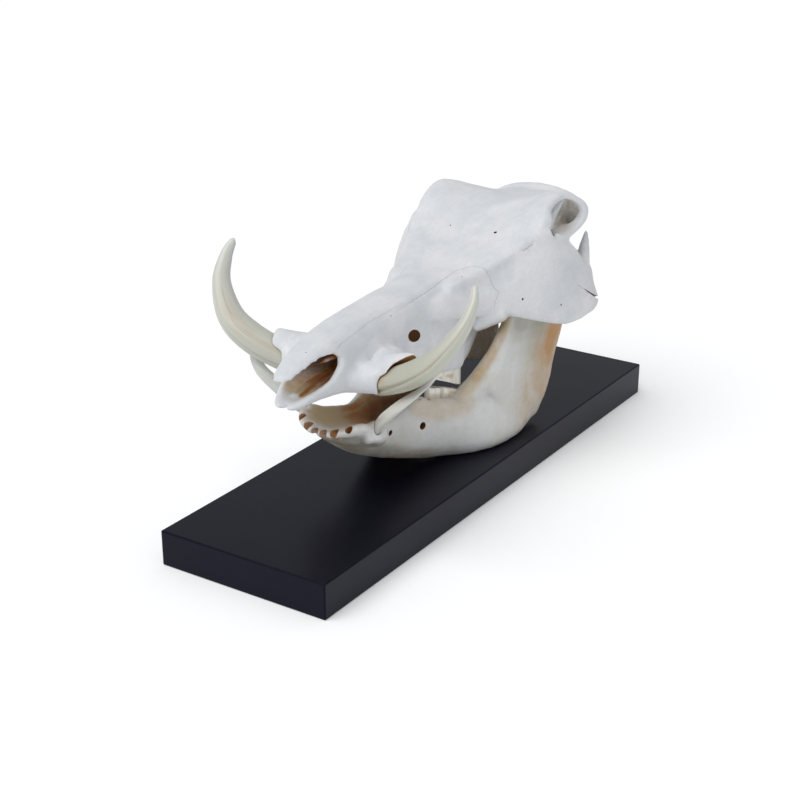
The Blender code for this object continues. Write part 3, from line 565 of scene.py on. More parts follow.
def loft(bm, stations, around=4, along=3, side="both", mirrored=True):
    """A body through outlines given as (y, [(x, z), ...]).

    With mirrored the outline is its left half, from the top middle to the bottom middle.
    Without it the outline is a whole ring, and side says on which side it stands.
    """
    around *= FINE_AROUND
    along *= FINE_ALONG
    for sign in ((1,) if mirrored else side_sign(side)):
        outlines = []
        for y, half in stations:
            ring = [(x * sign, y, z) for x, z in half]
            if mirrored:
                ring += [(-x, y, z) for x, z in reversed(half[1:-1])]
            outlines.append(smooth_ring(ring, around))
        skin_smoothly(bm, outlines, along)


def bar_frames(path, along, flat_axis):
    """A bar's middle line, its radii, and the two directions across it: thin and wide."""
    fine = smooth_curve(np.array([(*p, r) for p, r in path], float), along)
    line = fine[:, :3]
    tangents = np.gradient(line, axis=0)
    tangents /= np.linalg.norm(tangents, axis=1)[:, None]
    axis = np.array(flat_axis, float)
    thin = axis - tangents * (tangents @ axis)[:, None]
    thin /= np.linalg.norm(thin, axis=1)[:, None]
    return line, fine[:, 3], thin, np.cross(tangents, thin)


def tube(bm, path, side="both", flatten=1.0, flat_axis=(0, 0, 1), around=14, along=4, profile=None):
    """A rounded bar along (point, radius) pairs, thinner across flat_axis by flatten.

    profile(angle, along) gives how much of the radius is left at an angle and a stretch of the bar.
    """
    along *= FINE_ALONG
    around *= FINE_AROUND
    line, radii, thin, wide = bar_frames(path, along, flat_axis)
    angles = np.linspace(0, 2 * np.pi, around, endpoint=False)
    for sign in side_sign(side):
        rings = []
        for step, (middle, radius) in enumerate(zip(line, radii)):
            share = step / (len(line) - 1)
            reach = radius * (profile(angles, share) if profile else np.ones(around))
            ring = (middle + np.outer(reach * np.cos(angles), wide[step])
                    + np.outer(reach * np.sin(angles) * flatten, thin[step]))
            rings.append(ring * (sign, 1, 1))
        skin(bm, rings)


def ball(bm, centre, radii, side="both", turn=(0, 0, 0)):
    """An egg shape; turn is in degrees about X, Y and Z."""
    for sign in side_sign(side):
        spin = Matrix.Rotation(math.radians(turn[2] * sign), 4, "Z")
        spin @= Matrix.Rotation(math.radians(turn[1] * sign), 4, "Y")
        spin @= Matrix.Rotation(math.radians(turn[0]), 4, "X")
        place = Matrix.Translation((centre[0] * sign, centre[1], centre[2]))
        bmesh.ops.create_icosphere(bm, subdivisions=4, radius=1.0,
                                   matrix=place @ spin @ Matrix.Diagonal((*radii, 1)))


def blade(bm, stations, side="both", around=5, along=3):
    """A plate through sections (y, (top x, z), (bottom x, z), thickness, outward bulge)."""
    outlines = []
    for y, top, bottom, thick, bulge in stations:
        top, bottom = np.array(top), np.array(bottom)
        down = bottom - top
        length = np.linalg.norm(down)
        out = np.array((-down[1], down[0])) / length
        ring = []
        for along_down, across in PLATE_OUTLINE:
            hump = bulge * math.sin(math.pi * along_down)
            ring.append(tuple(top + down * along_down + out * (across * thick + hump)))
        outlines.append((y, ring))
    loft(bm, outlines, around=around, along=along, side=side, mirrored=False)


def lift_left_brow(bm):
    """Raises what lies round the left brow, most in the middle."""
    for vert in bm.verts:
        away = vert.co - BROW_LIFT_MIDDLE
        spread = sum((a / r) ** 2 for a, r in zip(away, BROW_LIFT_REACH))
        vert.co.z += BROW_LIFT * math.exp(-spread)


def back_crest(bm):
    """The crest's plate, its wings swept forward."""
    outlines = []
    for y, scale in BACK_CREST_SLICES:
        ring = [(x * scale, (z - BACK_CREST_MIDDLE) * scale + BACK_CREST_MIDDLE) for x, z in BACK_CREST]
        ring += [(-x, z) for x, z in reversed(ring[1:-1])]
        outlines.append([(x, y - BACK_CREST_SWEEP * x * x, z) for x, z in smooth_ring(ring, steps=8)])
    skin(bm, outlines)


def build_cranium(bm):
    loft(bm, CRANIUM_BODY)
    blade(bm, CHEEK_PLATE)
    tube(bm, BROW_RING)
    # floor of the eye socket
    tube(bm, [((.066, .118, .22), .008), ((.07, .132, .219), .011), ((.071, .148, .221), .009)],
         flatten=0.4)
    # ridge where the forehead turns down into the cheek
    tube(bm, [((.03, -.02, .199), .006), ((.037, .0, .202), .0068), ((.047, .03, .2085), .007),
              ((.056, .055, .2155), .0075), ((.066, .078, .224), .0085), ((.073, .098, .227), .009)])
    # sockets' bulges, which end in flared rims round the upper tusks
    tube(bm, [((.017, -.087, .158), .0145), ((.0265, -.109, .1562), .0182), ((.036, -.129, .1568), .0182),
              ((.048, -.142, .1615), .0168), ((.06, -.1515, .1658), .0158), ((.071, -.1565, .17), .0136)])
    tube(bm, [((.016, -.185, .158), .009), ((.024, -.172, .1575), .0115), ((.036, -.16, .157), .0132),
              ((.05, -.157, .159), .014)])
    # lip over the upper side of the left tusk
    tube(bm, [((.052, -.146, .167), .012), ((.066, -.15, .1745), .0095), ((.077, -.1555, .1815), .0068),
              ((.084, -.16, .1865), .003)], side="left")
    # foot of the cheek arch, sloping in from its lower edge to the tooth row
    tube(bm, [((.064, .032, .1675), .008), ((.052, .022, .163), .009), ((.038, .013, .158), .0105)])
    # rear root of the cheek arch
    tube(bm, [((.092, .138, .166), .01), ((.087, .152, .172), .0095), ((.073, .168, .18), .0105),
              ((.05, .176, .185), .013), ((.026, .176, .192), .014)])
    # upright blade on the rear root
    tube(bm, [((.083, .152, .176), .009), ((.082, .158, .192), .007), ((.0805, .164, .206), .0048),
              ((.0795, .168, .2175), .0018)])
    # knob under the rear end of the cheek arch
    ball(bm, (.099, .136, .156), (.01, .017, .013))
    back_crest(bm)
    # neck joint knobs
    ball(bm, (.017, .212, .166), (.01, .011, .014), turn=(-25, 0, 20))
    # throat processes and ear bulbs
    tube(bm, [((.034, .188, .185), .009), ((.038, .186, .16), .0085), ((.04, .178, .138), .0065),
              ((.038, .17, .118), .003)], flatten=0.7, flat_axis=(0, 1, 0))
    ball(bm, (.024, .156, .146), (.01, .014, .02), turn=(10, 0, 0))
    # bone round the molars' roots
    blade(bm, [(-.062, (.026, .15), (.026, .128), .01, 0), (-.045, (.0275, .15), (.0285, .1225), .019, 0),
               (-.02, (.0285, .15), (.029, .1175), .02, 0), (.0, (.029, .15), (.029, .113), .018, 0),
               (.007, (.029, .15), (.0285, .12), .012, 0)])
    # wing plates behind the palate
    blade(bm, [(.02, (.016, .145), (.014, .122), .006, 0), (.04, (.019, .15), (.018, .106), .005, 0),
               (.07, (.02, .155), (.021, .101), .005, 0), (.096, (.02, .155), (.021, .114), .004, 0)])
    lift_left_brow(bm)


def cut_nose(bm):
    loft(bm, CAVITY)


def cut_nose_sides(bm):
    """The open notch between the nose bones above and the front jaw bones below."""
    profile = [(-.18, .1812), (-.184, .1848), (-.192, .1858), (-.205, .1842), (-.222, .1793),
               (-.236, .1735), (-.275, .16), (-.275, .137), (-.24, .1478), (-.23, .1512), (-.222, .1545),
               (-.213, .158), (-.203, .1615), (-.195, .1652), (-.187, .171), (-.181, .176)]
    rings = [[(x, y, z) for y, z in profile] for x in (-.045, .045)]
    skin(bm, np.array(rings))


def cut_nose_notch(bm):
    """Parts the tips of the two front jaw bones."""
    tube(bm, [((0, -.262, .149), .008), ((0, -.241, .1478), .005), ((0, -.232, .1482), .0028),
              ((0, -.226, .1492), .0008)], side="left")


def cut_orbit(bm):
    ball(bm, (.072, .1255, .237), (.027, .026, .0145), turn=(0, 14, -12))
    lift_left_brow(bm)


def cut_socket_fronts(bm):
    """Slants the rims of the upper tusks' sockets, which reach furthest above the tusk."""
    tube(bm, [((.056, -.19, .146), .012), ((.07, -.188, .153), .019), ((.09, -.186, .166), .023)])


def cut_cheek_hollow(bm):
    """Clears the space between the cheek plate and the braincase, for the jaw's upper end."""
    tube(bm, [((.06, .06, .13), .02), ((.063, .07, .165), .019), ((.064, .095, .19), .016),
              ((.063, .125, .2), .017), ((.064, .14, .215), .014)], flatten=0.62, flat_axis=(1, 0, 0))


def cut_cheek_holes(bm):
    """The holes through which nerves leave the upper jaw bones, and two small ones in the forehead."""
    tube(bm, CHEEK_HOLE, along=2)
    for side, radius in FOREHEAD_HOLES.items():
        path = [((.0262, .072, .24), radius), ((.0258, .078, .229), radius), ((.025, .082, .22), radius * .7)]
        tube(bm, path, side=side, along=2, around=8)


def cut_pits(bm):
    for place, way, radius in PITS:
        place, way = Vector(place), Vector(way) * PIT_DEPTH
        tube(bm, [(place + way, radius), (place, radius), (place - way, radius * .6)], side="left",
             flat_axis=(.3, .5, .1), along=1, around=5)


def cut_cheek_slit(bm):
    """The open end of the seam between the cheek bone and the temple bone."""
    tube(bm, [((.1, .121, .1745), .0004), ((.103, .1305, .1675), .0045), ((.106, .139, .161), .008),
              ((.108, .152, .156), .0085)], flatten=0.18, flat_axis=(0, .59, .81))


def cut_hinges(bm):
    ball(bm, KNUCKLE, [r + JAW_ROOM for r in KNUCKLE_RADII])


def cut_branch_room(bm):
    jaw_branch(bm, JAW_ROOM)


def cut_peak_room(bm):
    jaw_peak(bm, JAW_ROOM * 2)
    ball(bm, NECK, [r + JAW_ROOM for r in NECK_RADII])


def cut_skull_back(bm):
    """The great opening for the spinal cord and the two hollows in the back of the head."""
    tube(bm, [((0, .245, .172), .013), ((0, .212, .178), .011), ((0, .18, .19), .014)], side="left")
    ball(bm, (.024, .2335, .217), (.022, .0165, .019), turn=(0, 0, 12))


def jaw_branch(bm, grow=0.0):
    """The upright plate behind the teeth."""
    for sign in (1, -1):
        outlines = []
        for step, (z, front, rear, middle, thick) in enumerate(JAW_BRANCH):
            if step == len(JAW_BRANCH) - 1:
                z += grow
            depth = rear - front + 2 * grow
            wide = thick + 2 * grow
            ring = [(sign * (middle + across * wide), along_y * depth + front - grow, z)
                    for along_y, across in BRANCH_OUTLINE]
            outlines.append(smooth_ring(ring, steps=8))
        skin_smoothly(bm, outlines, steps=6)


def jaw_peak(bm, grow=0.0):
    """The flat peak in front of the hinge knuckle."""
    tube(bm, [((.06, .05, .146), .012 + grow), ((.06, .053, .165), .012 + grow),
              ((.06, .061, .18), .0095 + grow), ((.06, .07, .194 + grow), .005 + grow)],
         flatten=0.45 + grow / .013, flat_axis=(1, 0, 0))


def build_jaw(bm):
    loft(bm, JAW_FRONT)
    loft(bm, JAW_SIDE, mirrored=False)
    jaw_branch(bm)
    # front edge of the branch, running forward and inward to the tooth row
    tube(bm, [((.06, .046, .158), .0045), ((.0585, .036, .142), .0058), ((.055, .0285, .125), .007),
              ((.0505, .02, .109), .0094), ((.045, .012, .094), .012), ((.036, -.002, .08), .0125)])
    # swelling round the lower tusk's root
    tube(bm, [((.016, -.112, .078), .01), ((.0255, -.131, .0905), .011), ((.0345, -.1445, .1005), .0108),
              ((.04, -.152, .105), .0085)])
    ball(bm, (.0322, -.1555, .0985), (.0062, .006, .0072))
    # low wall between the lower tusk and the first molar
    tube(bm, [((.0265, -.078, .0975), .007), ((.028, -.065, .0985), .0075), ((.0285, -.055, .095), .006)])
    # hinge knuckle and its neck
    ball(bm, KNUCKLE, KNUCKLE_RADII)
    ball(bm, NECK, NECK_RADII)
    jaw_peak(bm)


def cut_jaw_bite(bm):
    """The gap above the branch between its peak and its knuckle."""
    ball(bm, (.06, .108, .186), (.025, .032, .022), turn=(-8, 0, 0))


def cut_board_top(bm):
    """Leaves the jaw standing on the board."""
    low = BOARD_THICKNESS - 0.05
    high = BOARD_THICKNESS + REST_GAP
    place = Matrix.Translation((0, 0, (low + high) / 2)) @ Matrix.Diagonal((0.3, 0.5, high - low, 1))
    bmesh.ops.create_cube(bm, size=1, matrix=place)


def cut_chin_holes(bm):
    for path, around in CHIN_HOLES:
        tube(bm, path, along=2, around=around)


def cut_incisor_sockets(bm):
    """The empty sockets of the front teeth, which lean forward and outward."""
    for x, y, z, size in INCISOR_SOCKETS:
        path = [((x * share, y + back, z + up), radius * size) for share, back, up, radius in INCISOR_SOCKET]
        tube(bm, path, flatten=0.76, flat_axis=(1, 0, 0), along=2, around=8)


def upper_tusk_path(side, grow=0.0):
    """An upper tusk's middle line with its radii, which grow adds to; the right one is the left one's
    mirror image but for its lean and swell."""
    path = []
    for step, ((x, y, z), r) in enumerate(UPPER_TUSK):
        along = step / (len(UPPER_TUSK) - 1)
        if side == "right":
            x -= RIGHT_TUSK_LEAN * along ** 4
            r *= RIGHT_TUSK_SWELL
        path.append(((x, y, z), r + grow))
    return path


def lower_tusk_path(side, grow=0.0):
    """The same for a lower tusk, whose thin side makes up for twice the growth."""
    path = []
    for step, ((x, y, z), r) in enumerate(LOWER_TUSK):
        along = step / (len(LOWER_TUSK) - 1)
        if side == "right":
            x += RIGHT_LOWER_SPREAD * along
        path.append(((x, y, z), r + grow * 2))
    return path


def cut_tusk_sockets(bm):
    for side in ("left", "right"):
        path = upper_tusk_path(side, TUSK_SOCKET_GAP)
        tube(bm, path, side=side, around=32, along=6, flatten=UPPER_FLAT, flat_axis=UPPER_FLAT_AXIS)


def cut_tusk_gaps(bm):
    """The open strip between an upper tusk and the flared upper rim of its socket."""
    path = [((.065, -.159, .164), .0118), ((.07, -.1606, .1672), .0142), ((.087, -.1665, .1786), .0151)]
    tube(bm, path, flatten=UPPER_FLAT, flat_axis=UPPER_FLAT_AXIS)


def cut_lower_tusk_sockets(bm):
    for side in ("left", "right"):
        path = lower_tusk_path(side, TUSK_SOCKET_GAP / 2)
        tube(bm, path, side=side, around=24, along=6, flatten=LOWER_FLAT, flat_axis=LOWER_FLAT_AXIS)


def molar(bm, kind, side):
    """A high crown with a worn, sloping top, pinched between its lobes and fluted all round."""
    (front, rear), (inner, outer), crown, root, lobes = MOLARS[kind]
    up = -1 if kind.startswith("upper") else 1
    half_length = (rear - front) / 2
    half_width = (outer - inner) / 2
    outline = []
    for step in range(MOLAR_AROUND):
        turn = 2 * math.pi * step / MOLAR_AROUND
        ahead = math.copysign(abs(math.cos(turn)) ** MOLAR_SQUARE, math.cos(turn))
        aside = math.copysign(abs(math.sin(turn)) ** MOLAR_SQUARE, math.sin(turn))
        t = 0.5 + 0.5 * ahead
        waist = 1 - MOLAR_WAIST * (0.5 + 0.5 * math.cos(2 * math.pi * lobes * t))
        flute = 1 - MOLAR_FLUTE * (0.5 + 0.5 * math.cos(6 * math.pi * lobes * t))
        outline.append((aside * waist * flute, ahead, t))
    for sign in side_sign(side):
        rings = []
        for level, size in MOLAR_RINGS:
            dip = 0 if size > MOLAR_RIM else MOLAR_DIP * up
            length = half_length - (1 - size) * half_width
            ring = []
            for aside, ahead, t in outline:
                top = crown[0] + (crown[1] - crown[0]) * t
                low = root[0] + (root[1] - root[0]) * t
                ring.append((sign * ((inner + outer) / 2 + aside * half_width * size),
                             (front + rear) / 2 + ahead * length, low + (top - low) * level - dip))
            rings.append(ring)
        skin(bm, rings)


def new_object(name, bm):
    """An object at the origin with the mesh, which is taken over from bm."""
    mesh = bpy.data.meshes.new(name)
    bm.to_mesh(mesh)
    bm.free()
    obj = bpy.data.objects.new(name, mesh)
    scene.collection.objects.link(obj)
    return obj


def add_modifier(obj, kind, **settings):
    modifier = obj.modifiers.new(kind.lower(), kind)
    for name, value in settings.items():
        setattr(modifier, name, value)
    return modifier


def settle(obj):
    """Puts what the modifiers make into the object's own mesh."""
    made = bpy.data.meshes.new_from_object(obj.evaluated_get(bpy.context.evaluated_depsgraph_get()))
    obj.modifiers.clear()
    old = obj.data
    obj.data = made
    made.name = old.name.split(".")[0]
    bpy.data.meshes.remove(old)


def fuse(obj, voxel, rounds):
    """Makes overlapping forms one skin and smooths it."""
    add_modifier(obj, "REMESH", mode="VOXEL", voxel_size=voxel)
    add_modifier(obj, "SMOOTH", factor=0.5, iterations=rounds)


def carve(obj, shapes, operation="DIFFERENCE", stained=0.0):
    """Cuts shapes out of an object, or joins them to it; stained marks the walls that they leave."""
    if "hollow" not in obj.data.attributes:
        store(obj.data, "hollow", np.zeros(len(obj.data.polygons)), "FACE")
    tools = []
    for shape in shapes:
        bm = bmesh.new()
        shape(bm)
        tool = new_object(shape.__name__, bm)
        store(tool.data, "hollow", np.full(len(tool.data.polygons), stained), "FACE")
        tools.append(tool)
        add_modifier(obj, "BOOLEAN", operation=operation, solver="MANIFOLD", object=tool)
    settle(obj)
    for tool in tools:
        bpy.data.objects.remove(tool)


def bone(name, build, hollows, inside, voxel, marks):
    """One bone: overlapping forms are fused, hollowed, softened and given their unevenness."""
    bm = bmesh.new()
    build(bm)
    obj = new_object(name, bm)
    fuse(obj, BODY_VOXEL, FUSE_ROUNDS)
    settle(obj)
    carve(obj, hollows)
    if inside:
        carve(obj, inside, "UNION")
    fuse(obj, voxel, FINISH_ROUNDS)
    settle(obj)
    press(obj.data, marks)
    for size, depth in UNEVENNESS:
        undulate(obj, size, depth)
    settle(obj)
    return obj


def undulate(obj, size, depth):
    """Uneven growth: the surface rises and falls by up to depth over stretches of that size."""
    clouds = bpy.data.textures.new("growth", "CLOUDS")
    clouds.noise_scale = size
    add_modifier(obj, "DISPLACE", texture=clouds, strength=depth * 2)


def read_vectors(mesh, field):
    """Every vertex's place (co) or every vertex's normal (normal), as rows."""
    flat = np.empty(len(mesh.vertices) * 3, np.float32)
    mesh.vertices.foreach_get(field, flat)
    return flat.reshape(-1, 3).astype(float)


def distance_to(path, points):
    """Each point's distance to a path, its share of the way along it, and the nearest place on it."""
    path = np.array(path, float).reshape(-1, 3)
    if len(path) == 1:
        path = np.vstack([path, path + (0, 0, 1e-6)])
    nearest = np.full(len(points), np.inf)
    share = np.zeros(len(points))
    place = np.zeros_like(points)
    for step, (start, end) in enumerate(zip(path, path[1:])):
        run = end - start
        t = np.clip(((points - start) @ run) / (run @ run), 0, 1)
        spot = start + t[:, None] * run
        gap = np.linalg.norm(points - spot, axis=1)
        closer = gap < nearest
        nearest[closer] = gap[closer]
        share[closer] = (step + t[closer]) / (len(path) - 1)
        place[closer] = spot[closer]
    return nearest, share, place


def fade(distance, reach):
    """1 on the spot, 0 at reach and beyond, with a soft slope between."""
    share = np.clip(1.5 * (1 - distance / reach), 0, 1)
    return share * share * (3 - 2 * share)


def press(mesh, marks):
    """Moves a surface along its normals near each mark: a path, its half width and its depth inward."""
    points = read_vectors(mesh, "co")
    normals = read_vectors(mesh, "normal")
    move = np.zeros(len(points))
    for path, width, depth, sides in marks:
        for sign in side_sign(sides):
            distance, _, _ = distance_to(np.array(path, float).reshape(-1, 3) * (sign, 1, 1), points)
            move -= depth * fade(distance, width)
    points += normals * move[:, None]
    mesh.vertices.foreach_set("co", points.astype(np.float32).ravel())
    mesh.update()


def paint_stain_and_shade(mesh, name, marks):
    """Stores how strongly a layer of stains and painted shade lies on each vertex.

    A mark is a path, its reach, its strength, the way the surface faces there (None for any, "in" for
    surfaces that look at the path) and its sides.
    """
    points = read_vectors(mesh, "co")
    normals = read_vectors(mesh, "normal")
    amount = np.zeros(len(points))
    for path, reach, strength, facing, sides in marks:
        for sign in side_sign(sides):
            distance, _, place = distance_to(np.array(path, float).reshape(-1, 3) * (sign, 1, 1), points)
            weight = strength * fade(distance, reach)
            if isinstance(facing, str):
                toward = (place - points) / np.maximum(distance, 1e-6)[:, None]
                weight *= np.clip(2 * (normals * toward).sum(axis=1), 0, 1)
            elif facing is not None:
                weight *= np.clip(1.5 * (normals @ (np.array(facing) * (sign, 1, 1))), 0, 1)
            amount = np.maximum(amount, weight)
    store(mesh, name, amount)


def store(mesh, name, values, domain="POINT"):
    """Keeps values, or rows of three, as an attribute that the materials read."""
    kind = "FLOAT" if values.ndim == 1 else "FLOAT_VECTOR"
    layer = mesh.attributes.new(name, kind, domain)
    layer.data.foreach_set("value" if values.ndim == 1 else "vector", values.astype(np.float32).ravel())


def seams(mesh, paths):
    """Stores the signed distance in millimetres to the nearest suture, and how near its line runs."""
    points = read_vectors(mesh, "co")
    normals = read_vectors(mesh, "normal")
    offset = np.full(len(points), SEAM_FAR)
    near = np.zeros(len(points))
    for path, weight, sides in paths:
        for sign in side_sign(sides):
            line = smooth_curve(path, steps=4) * (sign, 1, 1)
            distance, share, place = distance_to(line, points)
            step = np.clip((share * (len(line) - 1)).astype(int), 0, len(line) - 2)
            tangent = line[step + 1] - line[step]
            across = np.cross(tangent, normals)
            across /= np.maximum(np.linalg.norm(across, axis=1), 1e-9)[:, None]
            signed = ((points - place) * across).sum(axis=1) * MM_PER_METRE
            ends = np.clip(share * SEAM_ENDS, 0, 1) * np.clip((1 - share) * SEAM_ENDS, 0, 1)
            strength = weight * fade(distance * MM_PER_METRE, SEAM_FAR) * ends
            nearer = strength > near
            near[nearer] = strength[nearer]
            offset[nearer] = signed[nearer]
    store(mesh, "seam", offset)
    store(mesh, "seam_near", near)


def linear(hex_colour):
    """An sRGB hex colour as linear red, green, blue and a full alpha."""
    parts = [int(hex_colour[i:i + 2], 16) / 255 for i in (1, 3, 5)]
    return tuple(p / 12.92 if p <= .04045 else ((p + 0.055) / 1.055) ** 2.4 for p in parts) + (1.0,)


def add(tree, kind, inputs=None, out=0, **settings):
    """Adds a shader node, sets its properties, fills its inputs with values or links, and gives its
    output called or numbered out."""
    made = tree.nodes.new("ShaderNode" + kind)
    for key, value in settings.items():
        setattr(made, key, value)
    for key, value in (inputs or {}).items():
        if isinstance(value, bpy.types.NodeSocket):
            tree.links.new(value, made.inputs[key])
        else:
            made.inputs[key].default_value = value
    return made.outputs[out]


def new_material(name):
    material = bpy.data.materials.new(name)
    material.use_nodes = True
    return material, material.node_tree, material.node_tree.nodes["Principled BSDF"]


def bone_material(name, white, shade):
    # Bleached bone: dry and matt, chalk white with cool grey clouds, and faint fibres along the snout.
    # Fat and soil have left tan and rust stains in its hollows. The olive and near-black layers are painted
    # shade, as are the tan and rust on the jaw's inner faces, the tan on its underside and chin, and the tan
    # in and behind the eye sockets.
    material, tree, shader = new_material(name)
    place = add(tree, "TexCoord", out="Object")
    clouds = add(tree, "TexNoise", {"Vector": place, "Scale": 1 / 0.040, "Detail": 4.0, "Roughness": 0.6})
    ragged = add(tree, "TexNoise", {"Vector": place, "Scale": 1 / 0.006, "Detail": 5.0, "Roughness": 0.65})
    stretched = add(tree, "Mapping", {"Vector": place, "Scale": (1.0, 0.10, 0.5)})
    fibres = add(tree, "TexNoise", {"Vector": stretched, "Scale": 1 / .0016, "Detail": 3.0})
    cloud_share = add(tree, "MapRange", {"Value": clouds, "From Min": 0.40, "From Max": 0.65})
    colour = add(tree, "Mix", {0: cloud_share, 6: linear(white), 7: linear(shade)}, out=2, data_type="RGBA")
    fibre_share = add(tree, "MapRange", {"Value": fibres, "From Min": 0.35, "From Max": 0.75,
                                         "To Max": 0.22})
    colour = add(tree, "Mix", {0: fibre_share, 6: colour, 7: linear("#BFBFBC")}, out=2, data_type="RGBA")
    streaks = add(tree, "TexNoise", {"Vector": stretched, "Scale": 1 / 0.004, "Detail": 3.0})
    broad = add(tree, "TexNoise", {"Vector": place, "Scale": 1 / 0.016, "Detail": 2.0})
    patches = add(tree, "Math", {0: ragged, 1: broad}, operation="ADD")
    stripes = add(tree, "Math", {0: streaks, 1: 2.0, 2: patches}, operation="MULTIPLY_ADD")
    # The olive and near-black layers are painted shade; the tan and rust ones are stains and, in places,
    # painted shade.
    for key, hex_colour, pattern, middle, low, high in (
            ("tan", "#BBA47F", patches, -1.0, 0.0, 1.0), ("rust_stain_and_shade", "#A86C3A", stripes, -2.0, 0.0, 1.0),
            ("olive_shade", "#A19F93", clouds, -0.5, 0.0, 1.0), ("orange", "#BC8B54", clouds, -0.5, 0.0, 1.0),
            ("dark_shade", "#483E2E", patches, -1.0, 0.0, 1.0), ("hollow", "#BE8448", patches, -1.0, 0.0, 0.50),
            ("hollow", "#8A6232", patches, -1.0, 0.5, 1.0)):
        mark = add(tree, "Attribute", out="Fac", attribute_name=key)
        uneven = add(tree, "Math", {0: pattern, 1: middle}, operation="ADD")
        edge = add(tree, "Math", {0: uneven, 1: mark, 2: mark}, operation="MULTIPLY_ADD")
        share = add(tree, "MapRange", {"Value": edge, "From Min": low, "From Max": high},
                    interpolation_type="SMOOTHSTEP")
        colour = add(tree, "Mix", {0: share, 6: colour, 7: linear(hex_colour)}, out=2, data_type="RGBA")
    offset = add(tree, "Attribute", out="Fac", attribute_name="seam")
    near = add(tree, "Attribute", out="Fac", attribute_name="seam_near")
    wobble = add(tree, "TexNoise", {"Vector": place, "Scale": 1 / 0.004, "Detail": 2.0})
    wavy = add(tree, "Math", {0: wobble, 1: 3.0, 2: -1.5}, operation="MULTIPLY_ADD")
    moved = add(tree, "Math", {0: offset, 1: wavy}, operation="ADD")
    away = add(tree, "Math", {0: moved}, operation="ABSOLUTE")
    line = add(tree, "MapRange", {"Value": away, "From Min": 0.15, "From Max": 0.8, "To Min": 1.0,
                                  "To Max": 0.0})
    seam = add(tree, "Math", {0: line, 1: near}, operation="MULTIPLY")
    seam_share = add(tree, "Math", {0: seam, 1: 0.5}, operation="MULTIPLY")
    colour = add(tree, "Mix", {0: seam_share, 6: colour, 7: linear("#8F8C87")}, out=2, data_type="RGBA")
    tree.links.new(colour, shader.inputs["Base Color"])
    grain = add(tree, "Math", {0: fibres, 1: 0.6, 2: ragged}, operation="MULTIPLY_ADD")
    relief = add(tree, "Math", {0: seam, 1: -1.2, 2: grain}, operation="MULTIPLY_ADD")
    bump = add(tree, "Bump", {"Height": relief, "Strength": 1.0, "Distance": .00018})
    tree.links.new(bump, shader.inputs["Normal"])
    shader.inputs["Roughness"].default_value = 0.55
    shader.inputs["Specular IOR Level"].default_value = 0.35
    return material


def ivory_material(name, white, cream, root):
    # Tusk ivory: dense, cream and softly polished, with long growth streaks and tan stains from the root up.
    material, tree, shader = new_material(name)
    grain = add(tree, "Attribute", out="Vector", attribute_name="grain")
    tan = add(tree, "Attribute", out="Fac", attribute_name="tan")
    streaks = add(tree, "TexNoise", {"Vector": grain, "Scale": 3.0, "Detail": 3.0, "Roughness": 0.5})
    fine = add(tree, "TexNoise", {"Vector": grain, "Scale": 12.0, "Detail": 2.0})
    share = add(tree, "MapRange", {"Value": streaks, "From Min": 0.35, "From Max": 0.68})
    colour = add(tree, "Mix", {0: share, 6: linear(white), 7: linear(cream)}, out=2, data_type="RGBA")
    aged = add(tree, "Attribute", out="Fac", attribute_name="aged")
    colour = add(tree, "Mix", {0: aged, 6: colour, 7: linear(root)}, out=2, data_type="RGBA")
    narrow = add(tree, "MapRange", {"Value": fine, "From Min": 0.55, "From Max": 0.75, "To Max": 0.14})
    colour = add(tree, "Mix", {0: narrow, 6: colour, 7: linear("#B3AA8C")}, out=2, data_type="RGBA")
    brown = add(tree, "MapRange", {"Value": fine, "From Min": 0.42, "From Max": 0.62, "To Min": 0.15})
    stained = add(tree, "Math", {0: brown, 1: tan}, operation="MULTIPLY")
    colour = add(tree, "Mix", {0: stained, 6: colour, 7: linear("#B5966A")}, out=2, data_type="RGBA")
    tree.links.new(colour, shader.inputs["Base Color"])
    bump = add(tree, "Bump", {"Height": fine, "Strength": 0.5, "Distance": .00012})
    tree.links.new(bump, shader.inputs["Normal"])
    shader.inputs["Roughness"].default_value = 0.33
    shader.inputs["IOR"].default_value = 1.54
    return material


def enamel_material(name):
    # Tooth enamel: hard, white and glossy, with upright flutes and tan tartar in its grooves and at the gum.
    material, tree, shader = new_material(name)
    place = add(tree, "TexCoord", out="Object")
    upright = add(tree, "Mapping", {"Vector": place, "Scale": (1.0, 1.0, 0.12)})
    flutes = add(tree, "TexNoise", {"Vector": upright, "Scale": 1 / .0018, "Detail": 3.0})
    gum = add(tree, "Attribute", out="Fac", attribute_name="tan")
    tartar = add(tree, "MapRange", {"Value": flutes, "From Min": 0.45, "From Max": 0.70, "To Max": 0.5})
    colour = add(tree, "Mix", {0: tartar, 6: linear("#ECEBE4"), 7: linear("#CDBE9A")}, out=2,
                 data_type="RGBA")
    colour = add(tree, "Mix", {0: gum, 6: colour, 7: linear("#A98455")}, out=2, data_type="RGBA")
    tree.links.new(colour, shader.inputs["Base Color"])
    bump = add(tree, "Bump", {"Height": flutes, "Strength": 1.0, "Distance": .00025})
    tree.links.new(bump, shader.inputs["Normal"])
    shader.inputs["Roughness"].default_value = 0.25
    shader.inputs["IOR"].default_value = 1.62
    return material


